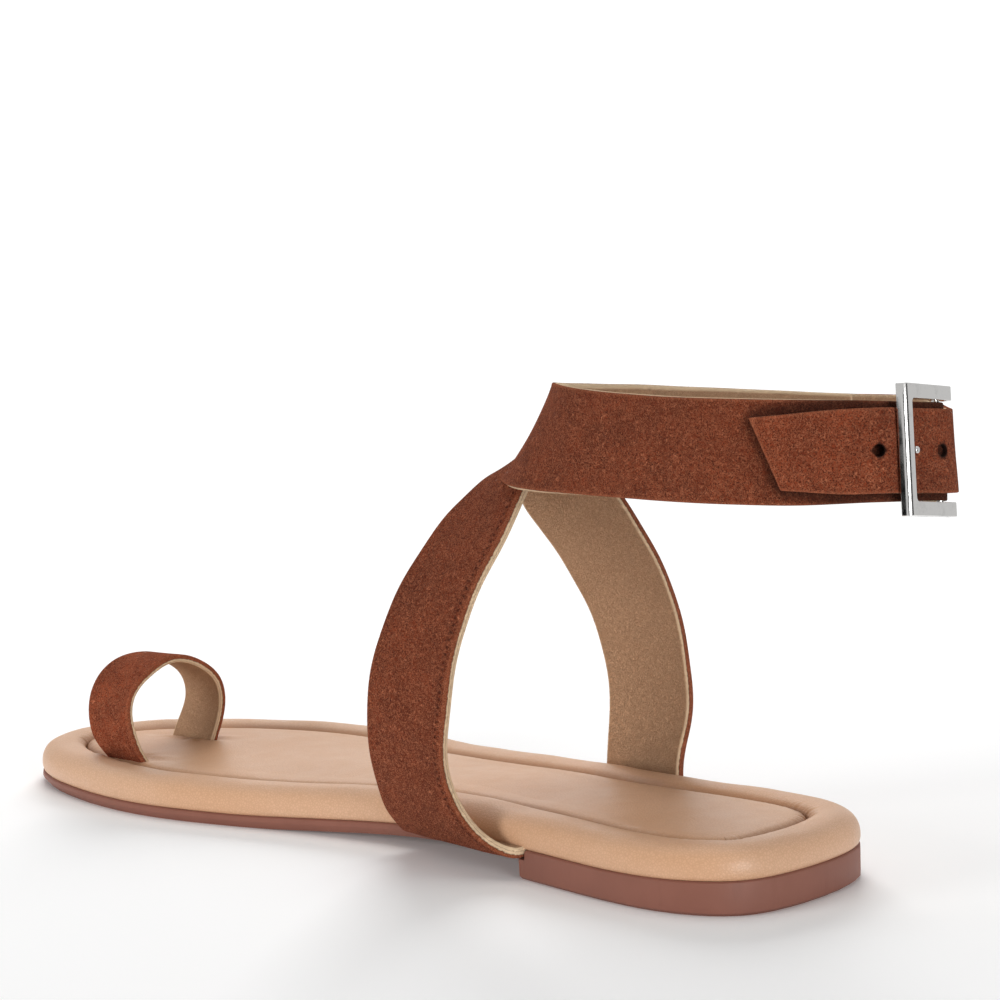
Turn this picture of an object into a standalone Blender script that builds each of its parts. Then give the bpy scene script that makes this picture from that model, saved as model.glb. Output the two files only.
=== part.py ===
"""Toe loop sandal, right shoe: a flat sole with a low heel block, a padded footbed,
a wishbone strap with an ankle band, a strap end in a buckle, and a toe loop.

The tables are in millimetres: x to the outer side of the foot, y from the heel to the
toe, z up from the ground. The mesh data is in metres, +Z up, toe along +Y.
"""

import math

import bmesh
import bpy
import numpy as np
from mathutils import Matrix, Vector

MM = 0.001
SLOT_GAP = 0.5       # clearance cut round the straps where they enter the sole
CENTRE_X = 2.071     # middle of the finished shoe in the tables' x
CENTRE_Y = 108.884   # and in the tables' y
RING_MIDDLE = (1.0, 22.0)    # a place inside the ankle ring

# Plan of the sole: y, x of the inner side, x of the outer side. One row per station.
PLAN = (
    (2.0, -19.9, 10.5),
    (7.0, -26.0, 21.4),
    (17.0, -30.4, 29.0),
    (32.0, -31.5, 32.5),
    (50.0, -29.8, 32.0),
    (70.0, -27.2, 31.5),
    (90.0, -24.0, 33.7),
    (110.0, -23.1, 36.5),
    (130.0, -26.5, 39.2),
    (150.0, -32.1, 42.3),
    (172.0, -38.3, 44.5),
    (192.0, -40.4, 43.0),
    (212.0, -38.4, 36.3),
    (228.0, -34.4, 26.4),
    (240.0, -28.0, 15.3),
    (246.5, -20.5, 5.6),
)
HEEL_TIP = (-8.0, 0.0)
TOE_TIP = (-8.0, 250.0)

# Side view: y, height of the seam between footbed and outsole, height of the outsole's
# underside. The two rows at the heel breast make its upright front face.
BREAST_Y = 63.5
SIDE = (
    (0.0, 7.8, 0.0),
    (35.0, 7.1, 0.0),
    (BREAST_Y - 0.3, 7.1, 0.0),
    (BREAST_Y, 7.1, 4.3),
    (85.0, 6.7, 3.8),
    (100.0, 6.0, 3.0),
    (115.0, 5.1, 2.0),
    (130.0, 4.2, 1.0),
    (147.0, 3.4, 0.1),
    (155.0, 3.2, 0.0),
    (205.0, 3.1, 0.0),
    (225.0, 3.2, 0.3),
    (250.0, 3.4, 1.0),
)

# Outsole rim: inset from the plan, drop below the seam, both in mm.
OUTSOLE_TOP = ((0.6, 0.15), (0.1, 0.45))
OUTSOLE_WALL = 1.5           # depth of the upright wall under the forepart
OUTSOLE_BEVEL = 1.1          # inward bevel at the lower edge
# Footbed from its underside, round the padded rim, down into the recess for the panel:
# inset from the plan, height over the seam.
FOOTBED = (
    (0.9, 0.15),
    (0.2, 0.7),
    (0.0, 2.0),
    (0.3, 3.8),
    (1.3, 5.5),
    (3.2, 6.7),
    (5.8, 7.1),
    (8.4, 6.9),
    (10.2, 6.3),
    (11.1, 5.4),
    (11.4, 4.2),
    (11.4, 2.2),
)
# Insole panel from its underside over its rounded edge to the flat middle.
PANEL = (
    (12.0, 2.6),
    (11.75, 4.2),
    (12.1, 5.3),
    (13.2, 6.1),
    (15.4, 6.5),
)
PANEL_CROWN = ((0.72, 6, 6.75), (0.40, 16, 6.9))   # share of the width, end inset, height

# Wishbone strap, outer face, from the inner slot over the instep to the outer slot.
# Each row: x, y, z of the toe-side edge, then x, y, z of the heel-side edge.
WISHBONE = (
    (-14.5, 103.0, 4.8, -17.0, 61.5, 6.0),
    (-21.0, 103.3, 4.8, -25.2, 61.3, 6.0),
    (-24.8, 103.6, 4.6, -29.4, 62.4, 4.9),
    (-28.2, 103.9, 7.6, -32.0, 67.5, 6.6),
    (-32.5, 103.5, 14.0, -34.3, 74.6, 13.2),
    (-36.1, 102.4, 23.8, -35.9, 78.2, 22.1),
    (-38.2, 100.6, 40.8, -38.0, 76.6, 37.7),
    (-33.8, 98.3, 56.9, -35.5, 75.2, 53.8),
    (-24.5, 95.8, 70.6, -28.5, 73.4, 69.5),
    (-12.6, 93.0, 80.7, -16.9, 72.2, 83.8),
    (0.6, 90.8, 86.0, 0.6, 75.4, 98.5),
    (9.3, 92.5, 76.3, 15.0, 70.4, 81.6),
    (19.9, 93.8, 65.0, 26.1, 70.7, 68.1),
    (29.2, 94.9, 53.0, 34.4, 71.4, 54.5),
    (35.9, 95.5, 39.7, 38.6, 71.6, 40.2),
    (38.4, 96.2, 25.5, 39.4, 71.9, 25.7),
    (38.8, 97.8, 12.5, 37.4, 73.2, 12.8),
    (38.3, 98.3, 6.6, 36.0, 72.6, 7.0),
    (35.8, 98.5, 4.7, 33.0, 71.8, 4.9),
    (32.0, 98.6, 4.8, 29.0, 71.5, 5.7),
    (25.0, 98.6, 4.8, 22.0, 71.5, 5.7),
)
STRAP_THICK = 2.4

# Ankle band, outer face, from the buckle over the inner side and the shin to the join.
# Each row: x and y of the upper edge, top, bottom, how far the lower edge stands out,
# thickness. The rows inside the buckle come first and are given in its own frame.
BAND_IN_BUCKLE = (           # along the frame, out of it, height, thickness
    (6.0, 0.65, 19.4, 0.9),
    (1.2, -1.25, 19.4, 1.0),
    (-2.2, -2.7, 19.6, 1.2),
    (-5.6, -3.8, 19.8, 1.5),
)
BAND = (
    (-14.5, -19.6, 108.2, 87.4, 1.3, 2.2),
    (-20.5, -11.0, 108.4, 87.0, 0.8, 2.4),
    (-24.8, 0.0, 108.5, 86.9, 0.5, 2.4),
    (-27.0, 12.0, 108.5, 86.8, 0.5, 2.4),
    (-27.2, 26.0, 108.6, 86.8, 1.0, 2.4),
    (-25.2, 40.0, 108.8, 86.8, 2.8, 2.4),
    (-20.5, 53.0, 109.0, 86.7, 6.5, 2.4),
    (-12.0, 65.0, 108.8, 86.5, 11.0, 2.4),
    (0.9, 72.5, 107.6, 86.0, 15.5, 2.4),
    (13.5, 66.0, 106.6, 85.2, 11.0, 2.4),
    (22.0, 54.0, 105.8, 84.6, 6.5, 2.4),
    (27.0, 40.0, 105.3, 84.1, 2.8, 2.4),
    (28.8, 26.0, 105.1, 83.9, 1.0, 2.4),
    (28.4, 11.0, 105.2, 84.0, 0.4, 2.4),
)
BAND_CURVE = 1.25            # how the lower edge flares: 1 straight, more is hollow
CURVE_RUN = 12.0             # length from the buckle over which the band takes that curve
# Strap end: outer face from the join round the heel to the buckle, columns as the band's.
STRAP_ROUND = (
    (28.3, 10.6, 105.2, 84.0, 0.4, 2.3),
    (26.8, -1.5, 105.6, 84.9, 0.6, 2.2),
    (22.6, -13.5, 105.5, 86.0, 1.0, 2.0),
    (16.0, -23.3, 104.8, 86.9, 1.5, 1.8),
)
# Over the hinge pin and under the front bar: along the frame, out of it.
STRAP_IN_BUCKLE = ((7.3, 2.8), (0.0, 0.6), (-5.3, -1.45), (-8.2, -1.8))
STRAP_HIGH = 17.2
STRAP_THIN = 1.7
# Free end lying on the band: run along the band from its first row, stand-off, top, bottom.
STRAP_FREE = (
    (0.0, 0.45, 106.6, 89.5),
    (6.0, 0.6, 106.2, 89.9),
    (12.0, 0.8, 105.6, 90.3),
    (18.5, 1.1, 105.0, 90.8),
)
TIP_RAKE = 6.5               # how far the upper corner of the tip runs past the lower one
TIP_RUN = 9.0                # length over which the rake grows
HOLE_RADIUS = 1.25
HOLES = (-14.2, 5.0)         # open holes along the buckle's own length

# Buckle: centre, yaw, lean and tilt, then the frame's own sizes.
BUCKLE_AT = (0.2, -28.4, 97.2)
BUCKLE_LONG = (0.985, 0.125, -0.121)
BUCKLE_UP = (0.105, 0.128, 0.986)
FRAME_LONG = 17.0
FRAME_HIGH = 26.8
FRAME_THICK = 2.3
FRAME_RAIL = 3.0             # top and bottom rails
FRAME_BAR = 2.7              # front bar
FRAME_ROUND = 0.45
PIN_RADIUS = 0.8
PIN_AT = (7.3, -1.3)         # along the frame, out of its middle plane
PEG_RADIUS = 0.8
PEG_AT = -5.3
PEG_IN = 3.1
PEG_OUT = 0.5
FOLD_GAP = 0.32
FOLD_THICK = 0.9
FOLD_TAIL = 5.0

# Toe loop, outer face, from the seam on the inner side to the slit in the panel.
# Each row: x, y, z of the toe-side edge, then x, y, z of the heel-side edge.
TOE_LOOP = (
    (-22.9, 215.4, 5.6, -23.6, 199.6, 5.7),
    (-25.2, 215.6, 8.6, -26.2, 199.6, 8.8),
    (-28.7, 217.5, 15.6, -28.9, 201.9, 19.0),
    (-27.2, 219.8, 24.6, -25.6, 204.0, 26.7),
    (-20.2, 220.9, 31.3, -18.9, 205.0, 31.3),
    (-10.7, 221.3, 33.4, -10.6, 205.4, 33.8),
    (-1.5, 221.1, 31.4, -2.0, 205.1, 31.9),
    (5.1, 220.9, 26.8, 4.5, 205.0, 25.9),
    (7.2, 221.6, 19.4, 6.1, 205.7, 17.6),
    (4.2, 222.7, 10.6, 4.0, 206.8, 9.6),
    (2.4, 223.1, 5.7, 2.6, 207.2, 5.7),
)
LOOP_THICK = 2.0

STATIONS = 46                # pairs of points along the sole
FLAT_ANGLE = math.radians(38)

SLOTS = {
    "leather": ((0.62, 0.36, 0.21, 1.0), 0.45, 0.0),
    "outsole": ((0.27, 0.11, 0.09, 1.0), 0.60, 0.0),
    "suede": ((0.20, 0.055, 0.028, 1.0), 0.95, 0.0),
    "metal": ((0.72, 0.71, 0.69, 1.0), 0.12, 1.0),
}


def cubic(knots, values, at, closed=False):
    """Values of the smooth curve through the rows at the given parameters."""
    knots = np.asarray(knots, float)
    values = np.asarray(values, float)
    at = np.asarray(at, float)
    last = len(knots) - 1
    step = np.diff(knots)
    slope = np.diff(values, axis=0) / step[:, None]
    system = np.zeros((last + 1, last + 1))
    right = np.zeros((last + 1, values.shape[1]))
    for k in range(1, last):
        system[k, k - 1] = step[k - 1]
        system[k, k] = 2 * (step[k - 1] + step[k])
        system[k, k + 1] = step[k]
        right[k] = 6 * (slope[k] - slope[k - 1])
    if closed:
        system[0, 0] = 1.0
        system[0, last] = -1.0
        system[last, 0] = 2 * step[0]
        system[last, 1] = step[0]
        system[last, last - 1] = step[-1]
        system[last, last] = 2 * step[-1]
        right[last] = 6 * (slope[0] - slope[-1])
    else:
        system[0, 0] = 1.0
        system[last, last] = 1.0
    bend = np.linalg.solve(system, right)
    part = np.clip(np.searchsorted(knots, at, side="right") - 1, 0, last - 1)
    width = step[part][:, None]
    a = (knots[part + 1] - at)[:, None] / width
    b = 1.0 - a
    curve = a * values[part] + b * values[part + 1]
    curve += ((a ** 3 - a) * bend[part] + (b ** 3 - b) * bend[part + 1]) * width ** 2 / 6
    return curve


def chords(points, power=1.0):
    """Running chord length of the rows, with each chord raised to the power."""
    lengths = np.linalg.norm(np.diff(points, axis=0), axis=1) ** power
    return np.concatenate(([0.0], np.cumsum(lengths)))


def unit(vectors):
    """Vectors of length one."""
    return vectors / np.linalg.norm(vectors, axis=-1, keepdims=True)


def side_height(y, column):
    """Height of the seam (1) or the underside (2) at a place along the sole."""
    rows = np.array(SIDE)
    return np.interp(y, rows[:, 0], rows[:, column])


def plan_outline():
    """Dense closed outline of the sole with its inward normals, from the heel tip."""
    rows = [HEEL_TIP]
    rows += [(outer, y) for y, inner, outer in PLAN]
    rows += [TOE_TIP]
    rows += [(inner, y) for y, inner, outer in reversed(PLAN)]
    rows = np.array(rows + [HEEL_TIP])
    knots = chords(rows, 0.5)
    at = np.linspace(0.0, knots[-1], 1201)[:-1]
    line = cubic(knots, rows, at, closed=True)
    along = np.roll(line, -1, axis=0) - np.roll(line, 1, axis=0)
    inward = unit(np.stack([-along[:, 1], along[:, 0]], axis=1))
    return line, inward


OUTLINE, INWARD = plan_outline()


def sole_loop(inset, heights, width=1.0, ends=0.0):
    """One loop of the sole: pairs of points at like y, inner side up, outer side back."""
    line = OUTLINE + INWARD * inset
    low = int(np.argmin(line[:, 1]))
    line = np.roll(line, -low, axis=0)
    high = int(np.argmax(line[:, 1]))
    outer = line[: high + 1]
    inner = np.concatenate([line[high:], line[:1]])[::-1]
    turn = (np.arange(STATIONS) + 0.35) / (STATIONS - 0.3)
    share = (1 - np.cos(np.pi * turn)) / 2
    start = line[:, 1].min() + ends
    stop = line[:, 1].max() - ends
    full = share * 250.0
    nearest = int(np.argmin(np.abs(full - BREAST_Y)))
    full[nearest - 1] = BREAST_Y - 0.3
    full[nearest] = BREAST_Y
    y = np.interp(full, [0.0, BREAST_Y - 0.3, BREAST_Y, 250.0],
                  [start, BREAST_Y - 0.3, BREAST_Y, stop])
    order_inner = np.maximum.accumulate(inner[:, 1])
    order_outer = np.maximum.accumulate(outer[:, 1])
    x_inner = np.interp(y, order_inner, inner[:, 0])
    x_outer = np.interp(y, order_outer, outer[:, 0])
    middle = (x_inner + x_outer) / 2
    x_inner = middle + (x_inner - middle) * width
    x_outer = middle + (x_outer - middle) * width
    z = heights(y)
    going = np.stack([x_inner, y, z], axis=1)
    coming = np.stack([x_outer, y, z], axis=1)[::-1]
    return np.concatenate([going, coming])


def add_mesh(name, points, faces, slot, collection):
    """A mesh object from millimetre points, closed and facing out, with its material."""
    points = (np.asarray(points, float) - (CENTRE_X, CENTRE_Y, 0.0)) * MM
    mesh = bpy.data.meshes.new(name)
    mesh.from_pydata([tuple(p) for p in points], [], faces)
    mesh.update()
    work = bmesh.new()
    work.from_mesh(mesh)
    bmesh.ops.recalc_face_normals(work, faces=work.faces[:])
    if work.calc_volume(signed=True) < 0:
        bmesh.ops.reverse_faces(work, faces=work.faces[:])
    work.to_mesh(mesh)
    work.free()
    item = bpy.data.objects.new(name, mesh)
    collection.objects.link(item)
    if slot:
        item.data.materials.append(MATERIALS[slot])
    return item


def sole_loft(name, loops, slot, collection):
    """Close a stack of sole loops into a solid, with caps of pairs."""
    count = len(loops[0])
    half = count // 2
    points = np.concatenate(loops)
    faces = []
    for k in range(len(loops) - 1):
        for j in range(count):
            after = (j + 1) % count
            faces.append((k * count + j, k * count + after,
                          (k + 1) * count + after, (k + 1) * count + j))
    for base in (0, (len(loops) - 1) * count):
        for j in range(half - 1):
            other = count - 1 - j
            faces.append((base + j, base + j + 1, base + other - 1, base + other))
    return add_mesh(name, points, faces, slot, collection)


def sheet_solid(name, grid, thick, slot, collection, edge=0.5, outward=1.0):
    """Give a grid of outer points its thickness, with small bevels on its long edges."""
    grid = np.asarray(grid, float)
    rows, across = grid.shape[:2]
    thick = np.broadcast_to(thick, (rows,))
    along = np.gradient(grid, axis=0)
    over = np.gradient(grid, axis=1)
    normal = unit(np.cross(along, over)) * outward
    points = []
    for i in range(rows):
        bevel = min(edge, thick[i] / 3)
        outer = grid[i].copy()
        outer[0] += unit(grid[i, 1] - grid[i, 0]) * bevel
        outer[-1] += unit(grid[i, -2] - grid[i, -1]) * bevel
        inner = outer - normal[i] * thick[i]
        first, last = grid[i, 0], grid[i, -1]
        section = list(outer)
        section.append(last - normal[i, -1] * bevel)
        section.append(last - normal[i, -1] * (thick[i] - bevel))
        section += list(inner[::-1])
        section.append(first - normal[i, 0] * (thick[i] - bevel))
        section.append(first - normal[i, 0] * bevel)
        points += section
    size = 2 * across + 4
    faces = []
    for i in range(rows - 1):
        for j in range(size):
            after = (j + 1) % size
            faces.append((i * size + j, i * size + after,
                          (i + 1) * size + after, (i + 1) * size + j))
    for base in (0, (rows - 1) * size):
        for j in range(across - 1):
            opposite = 2 * across + 1 - j
            faces.append((base + j, base + j + 1, base + opposite - 1, base + opposite))
        faces.append((base + across - 1, base + across, base + across + 1,
                      base + across + 2))
        faces.append((base + 2 * across + 1, base + 2 * across + 2,
                      base + 2 * across + 3, base))
    return add_mesh(name, points, faces, slot, collection)


def ribbon_grid(table, count):
    """Outer face of a strap from its table of edges, as three lines of points."""
    rows = np.array(table, float)
    knots = chords((rows[:, :3] + rows[:, 3:]) / 2)
    line = cubic(knots, rows, np.linspace(0.0, knots[-1], count))
    toe, heel = line[:, :3], line[:, 3:]
    return np.stack([heel, (heel + toe) / 2, toe], axis=1)


def boolean(target, tool, operation):
    """Apply one exact boolean and remove the tool's object."""
    bpy.context.view_layer.objects.active = target
    change = target.modifiers.new(operation.lower(), "BOOLEAN")
    change.operation = operation
    change.solver = "EXACT"
    change.object = tool
    bpy.ops.object.modifier_apply(modifier=change.name)
    bpy.data.objects.remove(tool, do_unlink=True)


def clear_scene():
    """Start from an empty file."""
    for item in list(bpy.data.objects):
        bpy.data.objects.remove(item, do_unlink=True)


def make_materials():
    """One principled material per slot."""
    made = {}
    for slot, (colour, rough, metallic) in SLOTS.items():
        material = bpy.data.materials.new(slot)
        material.use_nodes = True
        shader = material.node_tree.nodes["Principled BSDF"]
        shader.inputs["Base Color"].default_value = colour
        shader.inputs["Roughness"].default_value = rough
        shader.inputs["Metallic"].default_value = metallic
        material.diffuse_color = colour
        made[slot] = material
    return made


def make_collection(name):
    """A collection linked to the scene."""
    collection = bpy.data.collections.new(name)
    bpy.context.scene.collection.children.link(collection)
    return collection


clear_scene()
MATERIALS = make_materials()
PARTS = make_collection("toe_loop_sandal")
CUTTERS = make_collection("cutters")


def seam(y):
    """Height of the seam between the footbed and the outsole."""
    return side_height(y, 1)


def under(y):
    """Height of the outsole's underside."""
    return side_height(y, 2)


def make_outsole():
    """Thin moulded sole and its heel block in one."""
    def wall(y):
        return np.where(y < BREAST_Y - 0.15, 0.8, seam(y) - OUTSOLE_WALL)

    loops = [sole_loop(inset, lambda y, d=drop: seam(y) - d) for inset, drop in OUTSOLE_TOP]
    loops.append(sole_loop(0.0, lambda y: seam(y) - 0.8))
    loops.append(sole_loop(0.0, wall))
    loops.append(sole_loop(OUTSOLE_BEVEL, under))
    return sole_loft("outsole", loops, "outsole", PARTS)


def make_footbed():
    """Padded rim round a shallow recess."""
    loops = [sole_loop(inset, lambda y, h=rise: seam(y) + h) for inset, rise in FOOTBED]
    return sole_loft("footbed", loops, "leather", PARTS)


def make_panel():
    """Cushioned centre of the insole."""
    loops = [sole_loop(inset, lambda y, h=rise: seam(y) + h) for inset, rise in PANEL]
    last = PANEL[-1][0]
    for width, ends, rise in PANEL_CROWN:
        loops.append(sole_loop(last, lambda y, h=rise: seam(y) + h, width, ends))
    return sole_loft("insole_panel", loops, "leather", PARTS)


def buckle_axes():
    """The buckle's long axis, its axis out of the leg, and its upright axis."""
    long_axis = unit(np.array(BUCKLE_LONG))
    up = np.array(BUCKLE_UP)
    up = unit(up - long_axis * (up @ long_axis))
    return long_axis, np.cross(long_axis, up), up


def buckle_point(along, out, up=0.0):
    """A point in the buckle's own frame, in table millimetres."""
    long_axis, out_axis, up_axis = buckle_axes()
    return np.array(BUCKLE_AT) + long_axis * along + out_axis * out + up_axis * up


def buckle_row(along, out, high, thick):
    """A strap station given in the buckle's own frame: upper edge, lower edge, thickness."""
    upper = buckle_point(along, out, high / 2)
    lower = buckle_point(along, out, -high / 2)
    return np.concatenate([upper, lower, [thick]])


def plan_outward(plan):
    """Plan directions out of the ankle ring along a line of points."""
    along = unit(np.gradient(plan, axis=0))
    outward = np.stack([-along[:, 1], along[:, 0]], axis=1)
    if (outward * (plan - RING_MIDDLE)).sum() < 0:
        outward = -outward
    return outward


def edge_rows(table):
    """Band table rows turned into upper edge, lower edge and thickness."""
    table = np.array(table, float)
    outward = plan_outward(table[:, :2])
    lower = np.column_stack([table[:, :2] + outward * table[:, 4:5], table[:, 3]])
    return np.column_stack([table[:, :3], lower, table[:, 5]])


def run_of(rows):
    """Running plan length of a strap, along the middle of its height."""
    rows = np.array(rows)
    return chords((rows[:, :2] + rows[:, 3:5]) / 2)


def stations(rows, at):
    """Upper edges, lower edges and thicknesses of a strap at the given runs."""
    line = cubic(run_of(rows), rows, at)
    return line[:, :3], line[:, 3:6], line[:, 6]


def band_rows():
    """All rows of the ankle band, the ones in the buckle first."""
    inside = np.array([buckle_row(*row) for row in BAND_IN_BUCKLE])
    return np.concatenate([inside, edge_rows(BAND)])


def band_curve(rows, at):
    """How hollow the band is at the given runs: straight in the buckle."""
    first = run_of(rows)[len(BAND_IN_BUCKLE)]
    return np.interp(at, [first, first + CURVE_RUN], [1.0, BAND_CURVE])


def wall_grid(upper, lower, across, curve):
    """Outer face between the two edges, hollow when the curve is over one."""
    up = np.linspace(0.0, 1.0, across)[None, :, None]
    stands = (1.0 - up) ** np.reshape(curve, (-1, 1, 1))
    flat = upper[:, None, :2] + (lower - upper)[:, None, :2] * stands
    height = lower[:, None, 2:] + (upper - lower)[:, None, 2:] * up
    return np.concatenate([flat, height], axis=2)


def fold_stations():
    """The band's folded end round the hinge pin, from its tail, in the buckle's frame."""
    reach = PIN_RADIUS + FOLD_GAP + FOLD_THICK
    stations = [(PIN_AT[0] - FOLD_TAIL * share, PIN_AT[1] - reach) for share in (1.0, 0.5)]
    for angle in np.linspace(-90, 90, 9):
        turn = math.radians(angle)
        stations.append((PIN_AT[0] + reach * math.cos(turn),
                         PIN_AT[1] + reach * math.sin(turn)))
    return stations


def make_band():
    """Ankle band with its folded end."""
    rows = band_rows()
    base = np.linspace(0.0, run_of(rows)[-1], 66)
    upper, lower, thick = stations(rows, base)
    half = BAND_IN_BUCKLE[0][2] / 2
    fold_upper = [buckle_point(along, out, half) for along, out in fold_stations()]
    fold_lower = [buckle_point(along, out, -half) for along, out in fold_stations()]
    upper = np.concatenate([fold_upper, upper])
    lower = np.concatenate([fold_lower, lower])
    thick = np.concatenate([np.full(len(fold_upper), FOLD_THICK), thick])
    curve = np.concatenate([np.ones(len(fold_upper)), band_curve(rows, base)])
    grid = wall_grid(upper, lower, 5, curve)
    return sheet_solid("upper_straps", grid, thick, "suede", PARTS, 0.5, -1.0)


def strap_rows():
    """All rows of the strap end: round the heel, through the buckle, over the band."""
    inside = [buckle_row(along, out, STRAP_HIGH, STRAP_THIN) for along, out in STRAP_IN_BUCKLE]
    table = band_rows()
    first = run_of(table)[len(BAND_IN_BUCKLE)]
    free = []
    for along, lift, top, bottom in STRAP_FREE:
        reach = first + along + np.array([-0.5, 0.0, 0.5])
        upper, lower, thick = stations(table, reach)
        outward = plan_outward((upper + lower)[:, :2] / 2)[1]
        edges = []
        for z in (top, bottom):
            share = (z - lower[1, 2]) / (upper[1, 2] - lower[1, 2])
            stands = (1.0 - share) ** band_curve(table, reach[1])
            place = upper[1, :2] + (lower - upper)[1, :2] * stands
            edges += list(place + outward * (lift + STRAP_THIN)) + [z]
        free.append(edges + [STRAP_THIN])
    return np.concatenate([edge_rows(STRAP_ROUND), inside, free])


def punch(strap, centre, aim):
    """Cut one round hole through the strap."""
    centre = (np.array(centre) - (CENTRE_X, CENTRE_Y, 0.0)) * MM
    bpy.ops.mesh.primitive_cylinder_add(vertices=20, radius=HOLE_RADIUS * MM,
                                        depth=7 * MM, location=centre)
    cutter = bpy.context.object
    cutter.rotation_mode = "QUATERNION"
    cutter.rotation_quaternion = aim.to_track_quat("Z", "Y")
    bpy.context.view_layer.update()
    boolean(strap, cutter, "DIFFERENCE")


def make_strap_end():
    """The holed end of the ankle strap, fastened in the buckle."""
    rows = strap_rows()
    total = run_of(rows)[-1]
    base = np.linspace(0.0, total, 56)
    rake = np.clip((base - (total - TIP_RUN)) / TIP_RUN, 0.0, 1.0) * TIP_RAKE
    upper, lower, thick = stations(rows, base)
    lower = stations(rows, base - rake)[1]
    grid = wall_grid(upper, lower, 3, 1.0)
    strap = sheet_solid("strap_end", grid, thick, "suede", PARTS, 0.35, -1.0)
    upper, lower, thick = stations(rows, np.linspace(0.0, total, 900))
    middles = (upper + lower) / 2
    outward = plan_outward(middles[:, :2])
    for along in HOLES:
        target = buckle_point(along, -1.0)[:2]
        k = int(np.argmin(np.linalg.norm(middles[:, :2] - target, axis=1)))
        punch(strap, middles[k], Vector((outward[k, 0], outward[k, 1], 0.0)))
    punch(strap, buckle_point(PEG_AT, -1.8), Vector(buckle_axes()[1]))
    return strap


def place_in_buckle(item):
    """Move a piece modelled in the buckle's own frame to its place on the shoe."""
    long_axis, out_axis, up_axis = buckle_axes()
    turn = Matrix((long_axis, -out_axis, up_axis)).transposed().to_4x4()
    at = (np.array(BUCKLE_AT) - (CENTRE_X, CENTRE_Y, 0.0)) * MM
    item.data.transform(Matrix.Translation(Vector(at)) @ turn)
    item.data.update()


def buckle_box(size, at):
    """A box in the buckle's own frame: along it, into the leg, up."""
    bpy.ops.mesh.primitive_cube_add(size=1.0)
    box = bpy.context.object
    box.scale = (size[0] * MM, size[1] * MM, size[2] * MM)
    box.location = (at[0] * MM, at[1] * MM, at[2] * MM)
    bpy.ops.object.transform_apply(location=True, rotation=True, scale=True)
    return box


def bevel(item, width, segments, angle=30):
    """Round the sharp edges of a piece."""
    bpy.context.view_layer.objects.active = item
    change = item.modifiers.new("round", "BEVEL")
    change.width = width * MM
    change.segments = segments
    change.limit_method = "ANGLE"
    change.angle_limit = math.radians(angle)
    bpy.ops.object.modifier_apply(modifier=change.name)


def make_buckle():
    """Cast frame with a hinge pin and the peg that stands in the strap's hole."""
    frame = buckle_box((FRAME_LONG, FRAME_THICK, FRAME_HIGH), (0, 0, 0))
    frame.name = "buckle"
    window = buckle_box((FRAME_LONG, FRAME_THICK * 3, FRAME_HIGH - 2 * FRAME_RAIL),
                        (FRAME_BAR, 0, 0))
    boolean(frame, window, "DIFFERENCE")
    bevel(frame, FRAME_ROUND, 2)
    bpy.ops.mesh.primitive_cylinder_add(
        vertices=16, radius=PIN_RADIUS * MM, depth=(FRAME_HIGH - FRAME_RAIL) * MM,
        location=(PIN_AT[0] * MM, -PIN_AT[1] * MM, 0.0))
    pin = bpy.context.object
    bpy.ops.object.transform_apply(location=True, rotation=True, scale=True)
    boolean(frame, pin, "UNION")
    bpy.ops.mesh.primitive_cylinder_add(
        vertices=16, radius=PEG_RADIUS * MM, depth=(PEG_IN + PEG_OUT) * MM,
        location=(PEG_AT * MM, (PEG_IN - PEG_OUT) / 2 * MM, 0.0),
        rotation=(math.pi / 2, 0.0, 0.0))
    peg = bpy.context.object
    bpy.ops.object.transform_apply(location=True, rotation=True, scale=True)
    bevel(peg, 0.35, 2, 60)
    boolean(frame, peg, "UNION")
    for home in list(frame.users_collection):
        home.objects.unlink(frame)
    PARTS.objects.link(frame)
    frame.data.materials.clear()
    frame.data.materials.append(MATERIALS["metal"])
    place_in_buckle(frame)
    return frame


def clearance(table, count, thick, side):
    """A cutter round the end of a strap, a little larger than it all round."""
    rows = [np.array(row, float) for row in table]
    direction = rows[0] - rows[1]
    direction = direction / np.linalg.norm(direction[:3])
    grid = ribbon_grid([rows[0] + direction * SLOT_GAP] + rows, count)
    heel, toe = grid[:, 0], grid[:, -1]
    wide = unit(toe - heel) * SLOT_GAP
    normal = unit(np.cross(np.gradient(grid, axis=0), np.gradient(grid, axis=1)))
    grid = np.stack([heel - wide, grid[:, 1], toe + wide], axis=1)
    return sheet_solid("clearance", grid + normal * side * SLOT_GAP,
                       thick + 2 * SLOT_GAP, None, CUTTERS, 0.1, side)


def smooth(item):
    """Smooth shading with crisp edges kept."""
    mesh = item.data
    for polygon in mesh.polygons:
        polygon.use_smooth = True
    mesh.set_sharp_from_angle(angle=FLAT_ANGLE)


def build():
    """Make every piece and fit them to one another."""
    outsole = make_outsole()
    footbed = make_footbed()
    panel = make_panel()
    upper = make_band()
    wishbone = sheet_solid("wishbone", ribbon_grid(WISHBONE, 76), STRAP_THICK, "suede",
                           PARTS, 0.5)
    loop = sheet_solid("toe_loop", ribbon_grid(TOE_LOOP, 40), LOOP_THICK, "suede",
                       PARTS, 0.4)
    strap = make_strap_end()
    buckle = make_buckle()

    feet = ((WISHBONE[:6], 1.0), (WISHBONE[:-7:-1], -1.0))
    legs = ((TOE_LOOP[:3], 1.0), (TOE_LOOP[:-4:-1], -1.0))
    for table, side in feet:
        for target in (outsole, footbed):
            boolean(target, clearance(table, 22, STRAP_THICK, side), "DIFFERENCE")
    for table, side in legs:
        for target in (panel, footbed):
            boolean(target, clearance(table, 12, LOOP_THICK, side), "DIFFERENCE")

    boolean(upper, wishbone, "UNION")
    for item in (outsole, footbed, panel, upper, loop, strap, buckle):
        smooth(item)


build()
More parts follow.
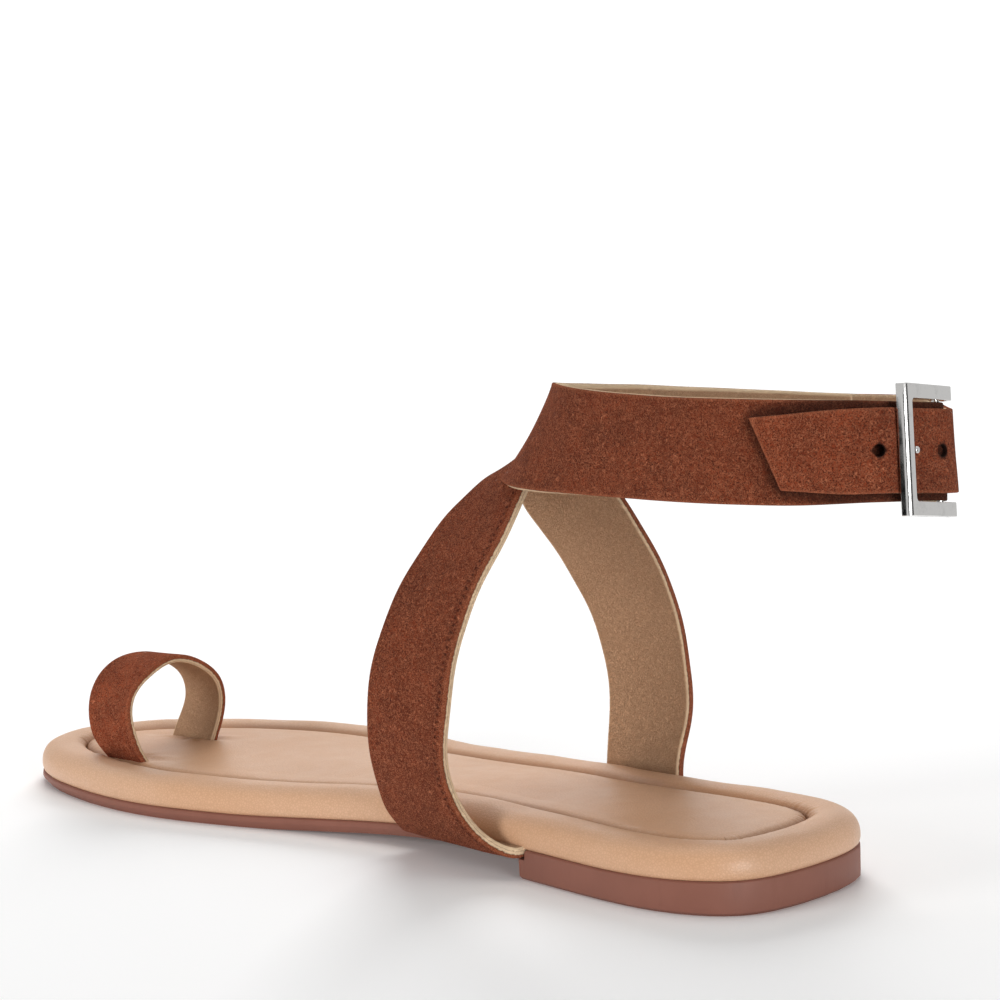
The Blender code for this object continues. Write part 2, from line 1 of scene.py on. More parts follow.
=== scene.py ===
# %% [markdown]
# # Toe loop sandal: the looks
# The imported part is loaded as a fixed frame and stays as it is. Every piece that shows is
# modelled again over it here, in the shoe's own sizes, and gets a procedural finish:
# suede and lining for the straps, padded leather for the footbed, moulded rubber for the
# outsole and polished metal for the buckle. Lengths are given in millimetres and turned
# into metres where a mesh is made.

import math

import bpy
import numpy as np
from mathutils import Matrix, Vector, kdtree


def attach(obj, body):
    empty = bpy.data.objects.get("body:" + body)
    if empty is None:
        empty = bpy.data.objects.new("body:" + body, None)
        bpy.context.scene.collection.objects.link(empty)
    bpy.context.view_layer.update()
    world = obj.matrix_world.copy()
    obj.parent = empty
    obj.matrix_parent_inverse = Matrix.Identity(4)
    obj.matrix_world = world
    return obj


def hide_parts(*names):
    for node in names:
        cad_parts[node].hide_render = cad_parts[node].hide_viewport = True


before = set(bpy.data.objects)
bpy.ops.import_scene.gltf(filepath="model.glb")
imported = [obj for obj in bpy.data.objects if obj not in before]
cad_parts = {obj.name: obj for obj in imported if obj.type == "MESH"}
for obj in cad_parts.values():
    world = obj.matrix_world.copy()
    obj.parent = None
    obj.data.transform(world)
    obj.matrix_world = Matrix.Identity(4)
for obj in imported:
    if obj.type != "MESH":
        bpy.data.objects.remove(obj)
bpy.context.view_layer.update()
MM = 0.001
CENTRE = np.array((2.071, 108.884, 0.0))   # the frame's origin in the sole's own millimetres
print("nodes", sorted(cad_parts))

# %% [markdown]
# ## Camera
# The photo was taken from behind the inner side, a little above the sole, with a long
# lens. The place, the turn and the lens are those at which the sole's outline, the strap
# ends and the buckle fall where the photo has them. The camera has no shift and no blur.

# %% Place the camera
CAMERA_AT = (-0.4976, -0.5220, 0.1596)
CAMERA_TURN = (83.57, 1.62, -44.47)
LENS = 111.1
SENSOR = 36.0
bpy.ops.object.camera_add(location=CAMERA_AT,
                          rotation=[math.radians(angle) for angle in CAMERA_TURN])
camera = bpy.context.object
camera.data.lens = LENS
camera.data.sensor_width = SENSOR
camera.data.clip_start = 0.02
bpy.context.scene.camera = camera
bpy.context.scene.view_settings.view_transform = "Standard"

# %% [markdown]
# ## Floor and light
# A white studio floor runs out under a white sky, so the sandal stands on nothing but its
# own soft shadow. The floor is a disc that fades out by its own coordinates, which hides
# its rim from every side. The main softbox stands behind the outer side, one hangs overhead,
# and two low ones fill the toe's side and the heel's side. Dark flags out of view give the
# polished buckle something dark to reflect. A dome of light alone would be simpler, but it
# leaves no direction in the shadow.

# %% Make the floor
def plain_material(name, colour, rough):
    """A principled material of one colour, returned with its shader."""
    material = bpy.data.materials.new(name)
    material.use_nodes = True
    shader = material.node_tree.nodes["Principled BSDF"]
    shader.inputs["Base Color"].default_value = (*colour, 1.0)
    shader.inputs["Roughness"].default_value = rough
    return material, shader


FLOOR_RADIUS = 1.25
FLOOR_FADES = (0.24, 0.42)      # metres from the middle where the floor starts and ends fading
FLOOR_WHITE = (0.98, 0.98, 0.98)
FLOOR_GLOW = 0.05
bpy.ops.object.select_all(action="DESELECT")
bpy.ops.mesh.primitive_circle_add(vertices=96, radius=FLOOR_RADIUS, fill_type="NGON")
floor = bpy.context.object
floor.name = "studio_floor"
floor_paint, floor_shader = plain_material("floor_paint", FLOOR_WHITE, 0.9)
floor_shader.inputs["Specular IOR Level"].default_value = 0.0
floor_shader.inputs["Emission Color"].default_value = (1.0, 1.0, 1.0, 1.0)
floor_shader.inputs["Emission Strength"].default_value = FLOOR_GLOW
floor_tree = floor_paint.node_tree
floor_place = floor_tree.nodes.new("ShaderNodeTexCoord")
floor_reach = floor_tree.nodes.new("ShaderNodeVectorMath")
floor_reach.operation = "LENGTH"
floor_fade = floor_tree.nodes.new("ShaderNodeMapRange")
floor_fade.interpolation_type = "SMOOTHSTEP"
floor_fade.inputs["From Min"].default_value = FLOOR_FADES[0]
floor_fade.inputs["From Max"].default_value = FLOOR_FADES[1]
floor_fade.inputs["To Min"].default_value = 1.0
floor_fade.inputs["To Max"].default_value = 0.0
floor_tree.links.new(floor_place.outputs["Object"], floor_reach.inputs[0])
floor_tree.links.new(floor_reach.outputs["Value"], floor_fade.inputs["Value"])
floor_tree.links.new(floor_fade.outputs["Result"], floor_shader.inputs["Alpha"])
floor.data.materials.append(floor_paint)

# %% Hang the lights
def softbox(name, at, aim, size, power):
    """A square area light at a place, turned to face another place."""
    bpy.ops.object.light_add(type="AREA", location=at)
    lamp = bpy.context.object
    lamp.name = name
    lamp.data.shape = "SQUARE"
    lamp.data.size = size
    lamp.data.energy = power
    look = Vector(aim) - Vector(at)
    lamp.rotation_euler = look.to_track_quat("-Z", "Y").to_euler()
    return lamp


back = softbox("back_softbox", (1.05, 1.10, 0.60), (0.0, 0.0, 0.04), 0.8, 27.0)
back.visible_glossy = False
softbox("overhead_softbox", (0.20, 0.20, 1.25), (0.0, 0.0, 0.05), 1.0, 4.6)
side = softbox("low_side_fill", (-1.10, 0.38, 0.20), (0.0, 0.0, 0.06), 0.5, 6.6)
side.visible_glossy = False
softbox("low_heel_fill", (-0.40, -1.18, 0.20), (0.0, -0.05, 0.06), 0.5, 7.0)

# %% Make the sky
SKY_LIGHT = 0.24           # brightness that lights the sandal
SKY_SEEN = 1.10            # brightness that the camera sees
SKY_MIRRORED = 0.50        # share of the way to that brightness in reflections
world = bpy.data.worlds.new("studio_sky")
bpy.context.scene.world = world
world.use_nodes = True
sky = world.node_tree
background = sky.nodes["Background"]
background.inputs["Color"].default_value = (1.0, 1.0, 1.0, 1.0)
seen = sky.nodes.new("ShaderNodeLightPath")
strength = sky.nodes.new("ShaderNodeMapRange")
strength.inputs["To Min"].default_value = SKY_LIGHT
strength.inputs["To Max"].default_value = SKY_SEEN
clear = sky.nodes.new("ShaderNodeMath")
clear.operation = "MULTIPLY_ADD"
clear.inputs[1].default_value = SKY_MIRRORED
sky.links.new(seen.outputs["Is Glossy Ray"], clear.inputs[0])
sky.links.new(seen.outputs["Is Camera Ray"], clear.inputs[2])
sky.links.new(clear.outputs["Value"], strength.inputs["Value"])
sky.links.new(strength.outputs["Result"], background.inputs["Strength"])

# %% Set up the dark flags
FLAG_BLACK = (0.012, 0.012, 0.012)
FLAG_AIM = (0.0, -0.1, 0.08)
flag_cloth, flag_shader = plain_material("flag_cloth", FLAG_BLACK, 0.9)
flag_shader.inputs["Specular IOR Level"].default_value = 0.0


def dark_flag(name, at, size):
    """A dark cloth that only reflections see, turned to face the sandal."""
    bpy.ops.object.select_all(action="DESELECT")
    bpy.ops.mesh.primitive_plane_add(size=1.0, location=at)
    flag = bpy.context.object
    flag.name = name
    flag.scale = (size[0], size[1], 1.0)
    look = Vector(FLAG_AIM) - Vector(at)
    flag.rotation_euler = look.to_track_quat("Z", "Y").to_euler()
    flag.data.materials.append(flag_cloth)
    flag.visible_camera = False
    flag.visible_shadow = False
    flag.visible_diffuse = False


dark_flag("flag_behind_camera", (-0.88, -0.86, 0.22), (0.36, 0.50))
dark_flag("flag_past_heel", (0.30, -0.72, 0.10), (0.34, 0.50))
dark_flag("flag_low_left", (-0.148, -0.074, 0.066), (0.10, 0.118))

# %% [markdown]
# ## Shader groups
# Effects that several materials share are node groups with named inputs: the nap of suede,
# the grain of leather, and the fading of a line at an edge. A group puts out only masks
# and heights. The principled shader stays in each material, where sheen and coat are set
# on its own sockets.

# %% Helpers for groups
def new_group(name, inputs, outputs):
    """A shader group with float or vector inputs and float outputs."""
    group = bpy.data.node_groups.new(name, "ShaderNodeTree")
    for label, kind, value in inputs:
        socket = group.interface.new_socket(label, in_out="INPUT", socket_type=kind)
        if value is not None:
            socket.default_value = value
    for label in outputs:
        group.interface.new_socket(label, in_out="OUTPUT", socket_type="NodeSocketFloat")
    start = group.nodes.new("NodeGroupInput")
    end = group.nodes.new("NodeGroupOutput")
    return group, start, end


def add_node(tree, kind, links=(), **settings):
    """A node with its settings, and its inputs linked or given values."""
    node = tree.nodes.new(kind)
    for key, value in settings.items():
        setattr(node, key, value)
    for socket, source in links:
        if isinstance(source, bpy.types.NodeSocket):
            tree.links.new(source, node.inputs[socket])
        else:
            node.inputs[socket].default_value = source
    return node


def maths(tree, operation, a, b=0.0, c=0.0):
    """One Math node, returned as its output."""
    node = add_node(tree, "ShaderNodeMath", ((0, a), (1, b), (2, c)), operation=operation)
    return node.outputs[0]


def noise(tree, vector, scale, detail=2.0, rough=0.5, twist=0.0):
    """A noise pattern, returned as its value."""
    node = add_node(tree, "ShaderNodeTexNoise", (("Vector", vector), ("Scale", scale),
                    ("Detail", detail), ("Roughness", rough), ("Distortion", twist)))
    return node.outputs["Fac"]


def between(tree, value, low, high, to_low=0.0, to_high=1.0):
    """Map a value from one range to another, clamped and eased."""
    node = add_node(tree, "ShaderNodeMapRange", (("Value", value), ("From Min", low),
                    ("From Max", high), ("To Min", to_low), ("To Max", to_high)),
                    interpolation_type="SMOOTHSTEP")
    return node.outputs["Result"]


# %% Nap of suede
FIBRE_THINNESS = (20.0, 16.0)   # the higher, the thinner the lines of each fibre layer


def make_nap():
    """Curly fibres are the level lines of a smooth noise; patches are brushed areas."""
    group, start, end = new_group(
        "suede_nap",
        (("Vector", "NodeSocketVector", None), ("Fibre Scale", "NodeSocketFloat", 860.0),
         ("Grain Scale", "NodeSocketFloat", 3600.0), ("Patch Scale", "NodeSocketFloat", 75.0)),
        ("Fibres", "Grain", "Patches", "Height"))
    vector = start.outputs["Vector"]
    scale = start.outputs["Fibre Scale"]
    first = noise(group, vector, scale, 2.0, 0.55, 0.8)
    second = noise(group, vector, maths(group, "MULTIPLY", scale, 1.73), 1.5, 0.5, 1.2)
    lines = []
    for value, thin in zip((first, second), FIBRE_THINNESS):
        level = maths(group, "ABSOLUTE", maths(group, "MULTIPLY_ADD", value, 2.0, -1.0))
        lines.append(maths(group, "POWER", maths(group, "SUBTRACT", 1.0, level), thin))
    fibres = maths(group, "MAXIMUM", lines[0], maths(group, "MULTIPLY", lines[1], 0.8))
    grain = noise(group, vector, start.outputs["Grain Scale"], 2.0, 0.6)
    wide = noise(group, vector, start.outputs["Patch Scale"], 3.0, 0.6, 0.6)
    brushed = noise(group, vector, maths(group, "MULTIPLY", start.outputs["Patch Scale"], 4.0),
                    2.0, 0.5, 0.4)
    patches = maths(group, "MULTIPLY_ADD", brushed, 0.4, maths(group, "MULTIPLY", wide, 0.6))
    height = maths(group, "MULTIPLY_ADD", fibres, 0.55, maths(group, "MULTIPLY", grain, 0.6))
    for label, value in (("Fibres", fibres), ("Grain", grain), ("Patches", patches),
                         ("Height", height)):
        group.links.new(value, end.inputs[label])
    return group


NAP = make_nap()

# %% Grain of leather
def make_grain():
    """Fine pebbles with pores between them, and slow changes of tone."""
    group, start, end = new_group(
        "leather_grain",
        (("Vector", "NodeSocketVector", None), ("Pebble Scale", "NodeSocketFloat", 1500.0),
         ("Tone Scale", "NodeSocketFloat", 28.0)),
        ("Pebbles", "Tone", "Height"))
    vector = start.outputs["Vector"]
    cells = add_node(group, "ShaderNodeTexVoronoi",
                     (("Vector", vector), ("Scale", start.outputs["Pebble Scale"])),
                     feature="DISTANCE_TO_EDGE")
    pebbles = between(group, cells.outputs["Distance"], 0.0, 0.28)
    fine = noise(group, vector, maths(group, "MULTIPLY", start.outputs["Pebble Scale"], 2.2))
    tone = noise(group, vector, start.outputs["Tone Scale"], 3.0, 0.55, 0.3)
    height = maths(group, "MULTIPLY_ADD", pebbles, 0.6, maths(group, "MULTIPLY", fine, 0.5))
    for label, value in (("Pebbles", pebbles), ("Tone", tone), ("Height", height)):
        group.links.new(value, end.inputs[label])
    return group


GRAIN = make_grain()

# %% Line at an edge
def make_edge_line():
    """One near an edge and nought further in, from a distance painted on the mesh."""
    group, start, end = new_group(
        "edge_line",
        (("Distance", "NodeSocketFloat", 0.0), ("Near", "NodeSocketFloat", 0.2),
         ("Far", "NodeSocketFloat", 1.0)),
        ("Mask",))
    mask = add_node(group, "ShaderNodeMapRange",
                    (("Value", start.outputs["Distance"]), ("From Min", start.outputs["Near"]),
                     ("From Max", start.outputs["Far"]), ("To Min", 1.0), ("To Max", 0.0)),
                    interpolation_type="SMOOTHSTEP")
    group.links.new(mask.outputs["Result"], end.inputs["Mask"])
    return group


EDGE_LINE = make_edge_line()

# %% Bead and stitch pits
def make_stitch_pits():
    """A raised bead along an edge, pricked at even steps, from painted millimetres."""
    group, start, end = new_group(
        "stitch_pits",
        (("Run", "NodeSocketFloat", 0.0), ("Across", "NodeSocketFloat", 99.0),
         ("Step", "NodeSocketFloat", 1.7), ("Middle", "NodeSocketFloat", 1.9)),
        ("Bead", "Pits"))
    off = maths(group, "ABSOLUTE", maths(group, "SUBTRACT", start.outputs["Across"],
                                         start.outputs["Middle"]))
    bead = between(group, off, 1.1, 0.3)
    step = start.outputs["Step"]
    phase = maths(group, "PINGPONG", start.outputs["Run"], maths(group, "MULTIPLY", step, 0.5))
    dots = between(group, phase, 0.42, 0.12)
    line = between(group, off, 0.55, 0.15)
    group.links.new(bead, end.inputs["Bead"])
    group.links.new(maths(group, "MULTIPLY", dots, line), end.inputs["Pits"])
    return group


STITCH_PITS = make_stitch_pits()

# %% [markdown]
# ## Materials
# The suede piece is one material for both of its layers. A value painted on the mesh,
# "layer", is 0 on the outer face and 1 on the inner face, so the change from suede to
# lining falls in the middle of the strap's cut edge, as the two skins do on the real strap.
# A second value, "edge", is the distance in millimetres from the strap's edge. "run" and
# "bead" are millimetres along the strap and from its beaded edge, "join" says how deep in
# the cut edge the lining begins, "crease" where the suede is pulled into folds, and "shade"
# where a hole or a strap lying close keeps the light out.

# %% Helpers for materials
def use_group(tree, group, **values):
    """A group placed in a material with its own values."""
    node = tree.nodes.new("ShaderNodeGroup")
    node.node_tree = group
    for label, value in values.items():
        socket = node.inputs[label.replace("_", " ")]
        if isinstance(value, bpy.types.NodeSocket):
            tree.links.new(value, socket)
        else:
            socket.default_value = value
    return node


def mix_colour(tree, factor, a, b):
    """Mix two colours, returned as the output."""
    node = tree.nodes.new("ShaderNodeMix")
    node.data_type = "RGBA"
    for socket, source in ((node.inputs[0], factor), (node.inputs[6], a), (node.inputs[7], b)):
        if isinstance(source, bpy.types.NodeSocket):
            tree.links.new(source, socket)
        elif isinstance(source, (int, float)):
            socket.default_value = source
        else:
            socket.default_value = (*source, 1.0)
    return node.outputs[2]


def painted(tree, name):
    """A value painted on the mesh."""
    return add_node(tree, "ShaderNodeAttribute", attribute_name=name).outputs["Fac"]


def object_place(tree):
    """Object coordinates, which are the frame's own metres."""
    return tree.nodes.new("ShaderNodeTexCoord").outputs["Object"]


def bump(tree, height, distance, strength=1.0, under=None):
    """A bump of a height pattern, over another one if given."""
    node = add_node(tree, "ShaderNodeBump", (("Height", height), ("Distance", distance),
                    ("Strength", strength)))
    if under is not None:
        tree.links.new(under, node.inputs["Normal"])
    return node.outputs["Normal"]


# %% [markdown]
# ### Suede and lining
# The real strap is rust-brown suede backed with a pale split-leather lining. Hair would show
# the nap, but it costs much and says little at this size. Level lines of a noise give the
# curly fibres, a finer noise the specks between them, and a wide one the brushed patches,
# and the same pattern drives colour and relief so that the two agree.

# %% Suede and lining
NO_BEAD = 99.0
SUEDE_DEEP = (0.055, 0.009, 0.004)
SUEDE_MAIN = (0.215, 0.043, 0.0160)
SUEDE_TIP = (0.560, 0.190, 0.095)
LINING_DEEP = (0.350, 0.200, 0.115)
LINING_MAIN = (0.560, 0.350, 0.215)
LINING_CUT = (0.860, 0.640, 0.420)
HOLE_SHADE = (0.020, 0.006, 0.004)
FIBRE_SHARE = 0.95         # how far the fibres take on the tip's colour
SPECK_SHARE = 0.90
LINING_FIBRE_SHARE = 0.16
CUT_RAGGED = 0.24          # how far the two skins run into each other, of the thickness
PLY_AT = 0.30              # depth of the lining's own ply line, of the thickness
BEAD_RELIEF = 0.00035
CREASE_RELIEF = 0.0016
NAP_RELIEF = 0.00030


def suede_material(name, lift=1.0):
    """Suede outside, lining inside; lift makes the suede a little lighter, which paints extra
    light onto a piece.
    """
    material, shader = plain_material(name, SUEDE_MAIN, 0.95)
    tree = material.node_tree
    place = object_place(tree)
    nap = use_group(tree, NAP, Vector=place)
    edge = painted(tree, "edge")
    layer = painted(tree, "layer")
    ragged = maths(tree, "MULTIPLY_ADD", noise(tree, place, 1400.0, 2.0), CUT_RAGGED,
                   -CUT_RAGGED / 2)
    depth = maths(tree, "ADD", layer, ragged)
    past = maths(tree, "SUBTRACT", depth, painted(tree, "join"))
    inside = between(tree, past, -0.03, 0.03)

    main = [min(1.0, part * lift) for part in SUEDE_MAIN]
    deep = [min(1.0, part * lift) for part in SUEDE_DEEP]
    patch = between(tree, nap.outputs["Patches"], 0.36, 0.64)
    suede = mix_colour(tree, patch, deep, main)
    suede = mix_colour(tree, 0.45, suede, main)
    fleck = maths(tree, "MULTIPLY", nap.outputs["Fibres"], FIBRE_SHARE)
    suede = mix_colour(tree, fleck, suede, SUEDE_TIP)
    speck = maths(tree, "MULTIPLY", between(tree, nap.outputs["Grain"], 0.52, 0.36),
                  SPECK_SHARE)
    suede = mix_colour(tree, speck, suede, SUEDE_DEEP)
    # Painted highlight: the suede is lighter within about a millimetre of its edges, a sheen where
    # its face turns away.
    rim = use_group(tree, EDGE_LINE, Distance=edge, Near=0.0, Far=0.9)
    suede = mix_colour(tree, maths(tree, "MULTIPLY", rim.outputs["Mask"], 0.25), suede, SUEDE_TIP)

    fluff = use_group(tree, NAP, Vector=place, Fibre_Scale=900.0, Grain_Scale=5200.0,
                      Patch_Scale=40.0)
    lining = mix_colour(tree, between(tree, fluff.outputs["Grain"], 0.25, 0.75),
                        LINING_DEEP, LINING_MAIN)
    hairs = maths(tree, "MULTIPLY", fluff.outputs["Fibres"], LINING_FIBRE_SHARE)
    lining = mix_colour(tree, hairs, lining, LINING_CUT)
    cut = use_group(tree, EDGE_LINE, Distance=edge, Near=0.1, Far=0.7)
    lining = mix_colour(tree, cut.outputs["Mask"], lining, LINING_CUT)

    colour = mix_colour(tree, inside, suede, lining)
    seam = between(tree, maths(tree, "ABSOLUTE", past), 0.09, 0.0)
    colour = mix_colour(tree, maths(tree, "MULTIPLY", seam, 0.5), colour, SUEDE_DEEP)
    off_ply = maths(tree, "ABSOLUTE", maths(tree, "SUBTRACT", past, PLY_AT))
    ply = between(tree, off_ply, 0.06, 0.0)
    ply = maths(tree, "MULTIPLY", ply, cut.outputs["Mask"])
    colour = mix_colour(tree, maths(tree, "MULTIPLY", ply, 0.6), colour, LINING_DEEP)
    outside_bead = maths(tree, "MULTIPLY_ADD", inside, NO_BEAD, painted(tree, "bead"))
    pits = use_group(tree, STITCH_PITS, Run=painted(tree, "run"), Across=outside_bead)
    # Painted shade: the stitch pits are darkened towards the deep suede colour, as the shade
    # inside them.
    colour = mix_colour(tree, maths(tree, "MULTIPLY", pits.outputs["Pits"], 0.7), colour,
                        SUEDE_DEEP)
    colour = mix_colour(tree, painted(tree, "shade"), colour, HOLE_SHADE)
    tree.links.new(colour, shader.inputs["Base Color"])
    relief = maths(tree, "SUBTRACT", pits.outputs["Bead"], pits.outputs["Pits"])
    normal = bump(tree, relief, BEAD_RELIEF, 1.0)
    pulls = add_node(tree, "ShaderNodeMapping", (("Vector", place), ("Rotation", (0.0, 0.7, 0.5)),
                     ("Scale", (1.0, 1.0, 0.25))))
    wrinkle = noise(tree, pulls.outputs["Vector"], 330.0, 2.0, 0.5, 0.5)
    wrinkle = maths(tree, "MULTIPLY", wrinkle, painted(tree, "crease"))
    normal = bump(tree, wrinkle, CREASE_RELIEF, 1.0, normal)
    normal = bump(tree, nap.outputs["Height"], NAP_RELIEF, 1.0, normal)
    tree.links.new(normal, shader.inputs["Normal"])
    shader.inputs["Sheen Weight"].default_value = 0.05
    shader.inputs["Sheen Roughness"].default_value = 0.45
    shader.inputs["Sheen Tint"].default_value = (0.85, 0.55, 0.42, 1.0)
    shader.inputs["Specular IOR Level"].default_value = 0.12
    return material


# The strap end and the toe loop get lighter copies of the suede: painted light, for pieces that
# stand in more light than the lamps here give them.
SUEDE = suede_material("brown_suede")
SUEDE_LIT_END = suede_material("brown_suede_lit_end", 1.32)
SUEDE_LIT_TOE = suede_material("brown_suede_lit_toe", 1.55)

# %% [markdown]
# ### Leather of the footbed
# Smooth tan leather over foam, with a satin skin. Fine cells are its pebbles and the lines
# between them its pores, a wide noise shifts the tone as a hide does, and the distance from
# the seam, painted on the mesh, paints shade where the leather is drawn into the groove.

# %% Footbed leather
LEATHER_MAIN = (0.650, 0.380, 0.222)
LEATHER_DEEP = (0.390, 0.185, 0.084)
LEATHER_PALE = (0.715, 0.460, 0.305)
GROOVE_SHADE = (0.210, 0.098, 0.050)
PORE_SHARE = 0.26
LEATHER_GLOSS = (0.38, 0.48)    # roughness of the shinier and of the duller places
GRAIN_RELIEF = 0.00008


def footbed_leather():
    """Smooth tan leather with a satin skin, with painted shade where it is pulled into the seam.
    """
    material, shader = plain_material("tan_leather", LEATHER_MAIN, 0.45)
    tree = material.node_tree
    place = object_place(tree)
    grain = use_group(tree, GRAIN, Vector=place)
    tone = between(tree, grain.outputs["Tone"], 0.30, 0.70)
    colour = mix_colour(tree, maths(tree, "MULTIPLY", tone, 0.5), LEATHER_MAIN, LEATHER_PALE)
    gap = maths(tree, "SUBTRACT", 1.0, grain.outputs["Pebbles"])
    pore = maths(tree, "MULTIPLY", gap, PORE_SHARE)
    colour = mix_colour(tree, pore, colour, LEATHER_DEEP)
    # Painted shade: the leather is darkened across the groove's slopes, and darker still along its
    # bottom line.
    groove = use_group(tree, EDGE_LINE, Distance=painted(tree, "groove"), Near=0.15, Far=3.0)
    colour = mix_colour(tree, maths(tree, "MULTIPLY", groove.outputs["Mask"], 0.70), colour,
                        LEATHER_DEEP)
    groove_shade_line = use_group(tree, EDGE_LINE, Distance=painted(tree, "groove"), Near=0.0, Far=0.5)
    colour = mix_colour(tree, maths(tree, "MULTIPLY", groove_shade_line.outputs["Mask"], 0.75), colour,
                        GROOVE_SHADE)
    tree.links.new(colour, shader.inputs["Base Color"])
    rough = between(tree, noise(tree, place, 160.0, 3.0), 0.3, 0.7, *LEATHER_GLOSS)
    tree.links.new(rough, shader.inputs["Roughness"])
    tree.links.new(bump(tree, grain.outputs["Height"], GRAIN_RELIEF, 0.7), shader.inputs["Normal"])
    shader.inputs["Specular IOR Level"].default_value = 0.55
    shader.inputs["Coat Weight"].default_value = 0.18
    shader.inputs["Coat Roughness"].default_value = 0.35
    return material


LEATHER = footbed_leather()

# %% [markdown]
# ### Rubber of the outsole
# Moulded rubber, matt and slightly dusty, in a red-brown near the suede's. Streaks that are
# stretched upright are left by the mould, and a slow noise lightens the dusty places and
# makes them rougher.

# %% Outsole rubber
RUBBER_MAIN = (0.232, 0.092, 0.064)
RUBBER_PALE = (0.270, 0.112, 0.080)
RUBBER_DEEP = (0.150, 0.054, 0.038)
RUBBER_GLOSS = (0.48, 0.66)


def outsole_rubber():
    """Matt red-brown rubber with faint moulding streaks and dusty patches."""
    material, shader = plain_material("sole_rubber", RUBBER_MAIN, 0.55)
    tree = material.node_tree
    place = object_place(tree)
    stretch = add_node(tree, "ShaderNodeMapping", (("Vector", place), ("Scale", (1.0, 1.0, 0.12))))
    streaks = noise(tree, stretch.outputs["Vector"], 420.0, 3.0, 0.6)
    dust = noise(tree, place, 45.0, 4.0, 0.6)
    colour = mix_colour(tree, between(tree, dust, 0.35, 0.75), RUBBER_MAIN, RUBBER_PALE)
    colour = mix_colour(tree, maths(tree, "MULTIPLY", between(tree, streaks, 0.55, 0.80), 0.22),
                        colour, RUBBER_DEEP)
    tree.links.new(colour, shader.inputs["Base Color"])
    rough = between(tree, dust, 0.3, 0.7, *RUBBER_GLOSS)
    tree.links.new(rough, shader.inputs["Roughness"])
    fine = noise(tree, place, 2600.0, 2.0)
    tree.links.new(bump(tree, fine, 0.00004, 0.5), shader.inputs["Normal"])
    shader.inputs["Specular IOR Level"].default_value = 0.35
    return material


RUBBER = outsole_rubber()

# %% [markdown]
# ### Metal of the buckle
# Polished cast metal looks like what it mirrors, so most of its look comes from the lights
# and flags. The material adds a little haze and hairline scratches along the frame, without
# which the faces would be perfect mirrors.

# %% Polished metal
METAL_TONE = (0.74, 0.73, 0.715)
METAL_WORN = (0.60, 0.59, 0.58)
METAL_GLOSS = (0.10, 0.22)


def buckle_metal():
    """Polished cast metal with hairline scratches and a little haze."""
    material, shader = plain_material("polished_metal", METAL_TONE, 0.12)
    tree = material.node_tree
    place = object_place(tree)
    haze = noise(tree, place, 260.0, 4.0, 0.6)
    stretch = add_node(tree, "ShaderNodeMapping", (("Vector", place), ("Scale", (0.3, 0.3, 3.0))))
    hairs = noise(tree, stretch.outputs["Vector"], 1800.0, 2.0)
    tree.links.new(mix_colour(tree, between(tree, haze, 0.5, 0.8), METAL_TONE, METAL_WORN),
                   shader.inputs["Base Color"])
    rough = between(tree, haze, 0.3, 0.7, *METAL_GLOSS)
    tree.links.new(rough, shader.inputs["Roughness"])
    tree.links.new(bump(tree, hairs, 0.00001, 0.08), shader.inputs["Normal"])
    shader.inputs["Metallic"].default_value = 1.0
    return material


METAL = buckle_metal()

# %% [markdown]
# ## Straps
# A strap is a flat piece of two skins that was bent to shape, and it is made the same way.
# A grid of faces is laid on the strap's outer face, which comes from a short table of its
# two edges, and is extruded inwards by the strap's thickness. A bevel rounds the cut
# edges. The grid's rows and columns say how far along and how far from the edge each
# vertex is, and these are painted on it for the suede's finish. A cloth simulation could
# drape the straps, but they are stiff and their shape is known, so the tables settle it.

# %% Object helpers
def only(item):
    """Select one object and make it active."""
    bpy.ops.object.select_all(action="DESELECT")
    item.select_set(True)
    bpy.context.view_layer.objects.active = item


def apply_modifier(piece, kind, **settings):
    """Add one modifier, set it and apply it."""
    only(piece)
    change = piece.modifiers.new(kind.lower(), kind)
    for key, value in settings.items():
        setattr(change, key, value)
    bpy.ops.object.modifier_apply(modifier=change.name)


def smooth(piece, angle=40):
    """Smooth shading that keeps edges sharper than the angle."""
    only(piece)
    bpy.ops.object.shade_smooth_by_angle(angle=math.radians(angle))


def dress(piece, material, node):
    """Give a piece its material and its body, and let it stand for a node."""
    piece.data.materials.clear()
    piece.data.materials.append(material)
    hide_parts(node)
    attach(piece, "root")
    print(piece.name, len(piece.data.polygons), "faces")


def coordinates(piece):
    """Vertex places of a piece in the sole's own millimetres."""
    flat = np.empty(len(piece.data.vertices) * 3, dtype=np.float32)
    piece.data.vertices.foreach_get("co", flat)
    return flat.reshape(-1, 3).astype(float) / MM + CENTRE


def place_vertices(piece, points):
    """Move a piece's vertices to places in the sole's own millimetres."""
    flat = ((np.asarray(points) - CENTRE) * MM).astype(np.float32).ravel()
    piece.data.vertices.foreach_set("co", flat)
    piece.data.update()


def paint(piece, name, values):
    """Keep one value per vertex on the mesh, for a material to read."""
    attribute = piece.data.attributes.get(name)
    if attribute is None:
        attribute = piece.data.attributes.new(name, "FLOAT", "POINT")
    attribute.data.foreach_set("value", np.asarray(values, dtype=np.float32))


def read_paint(piece, name):
    """The painted values of a piece."""
    values = np.empty(len(piece.data.vertices), dtype=np.float32)
    piece.data.attributes[name].data.foreach_get("value", values)
    return values


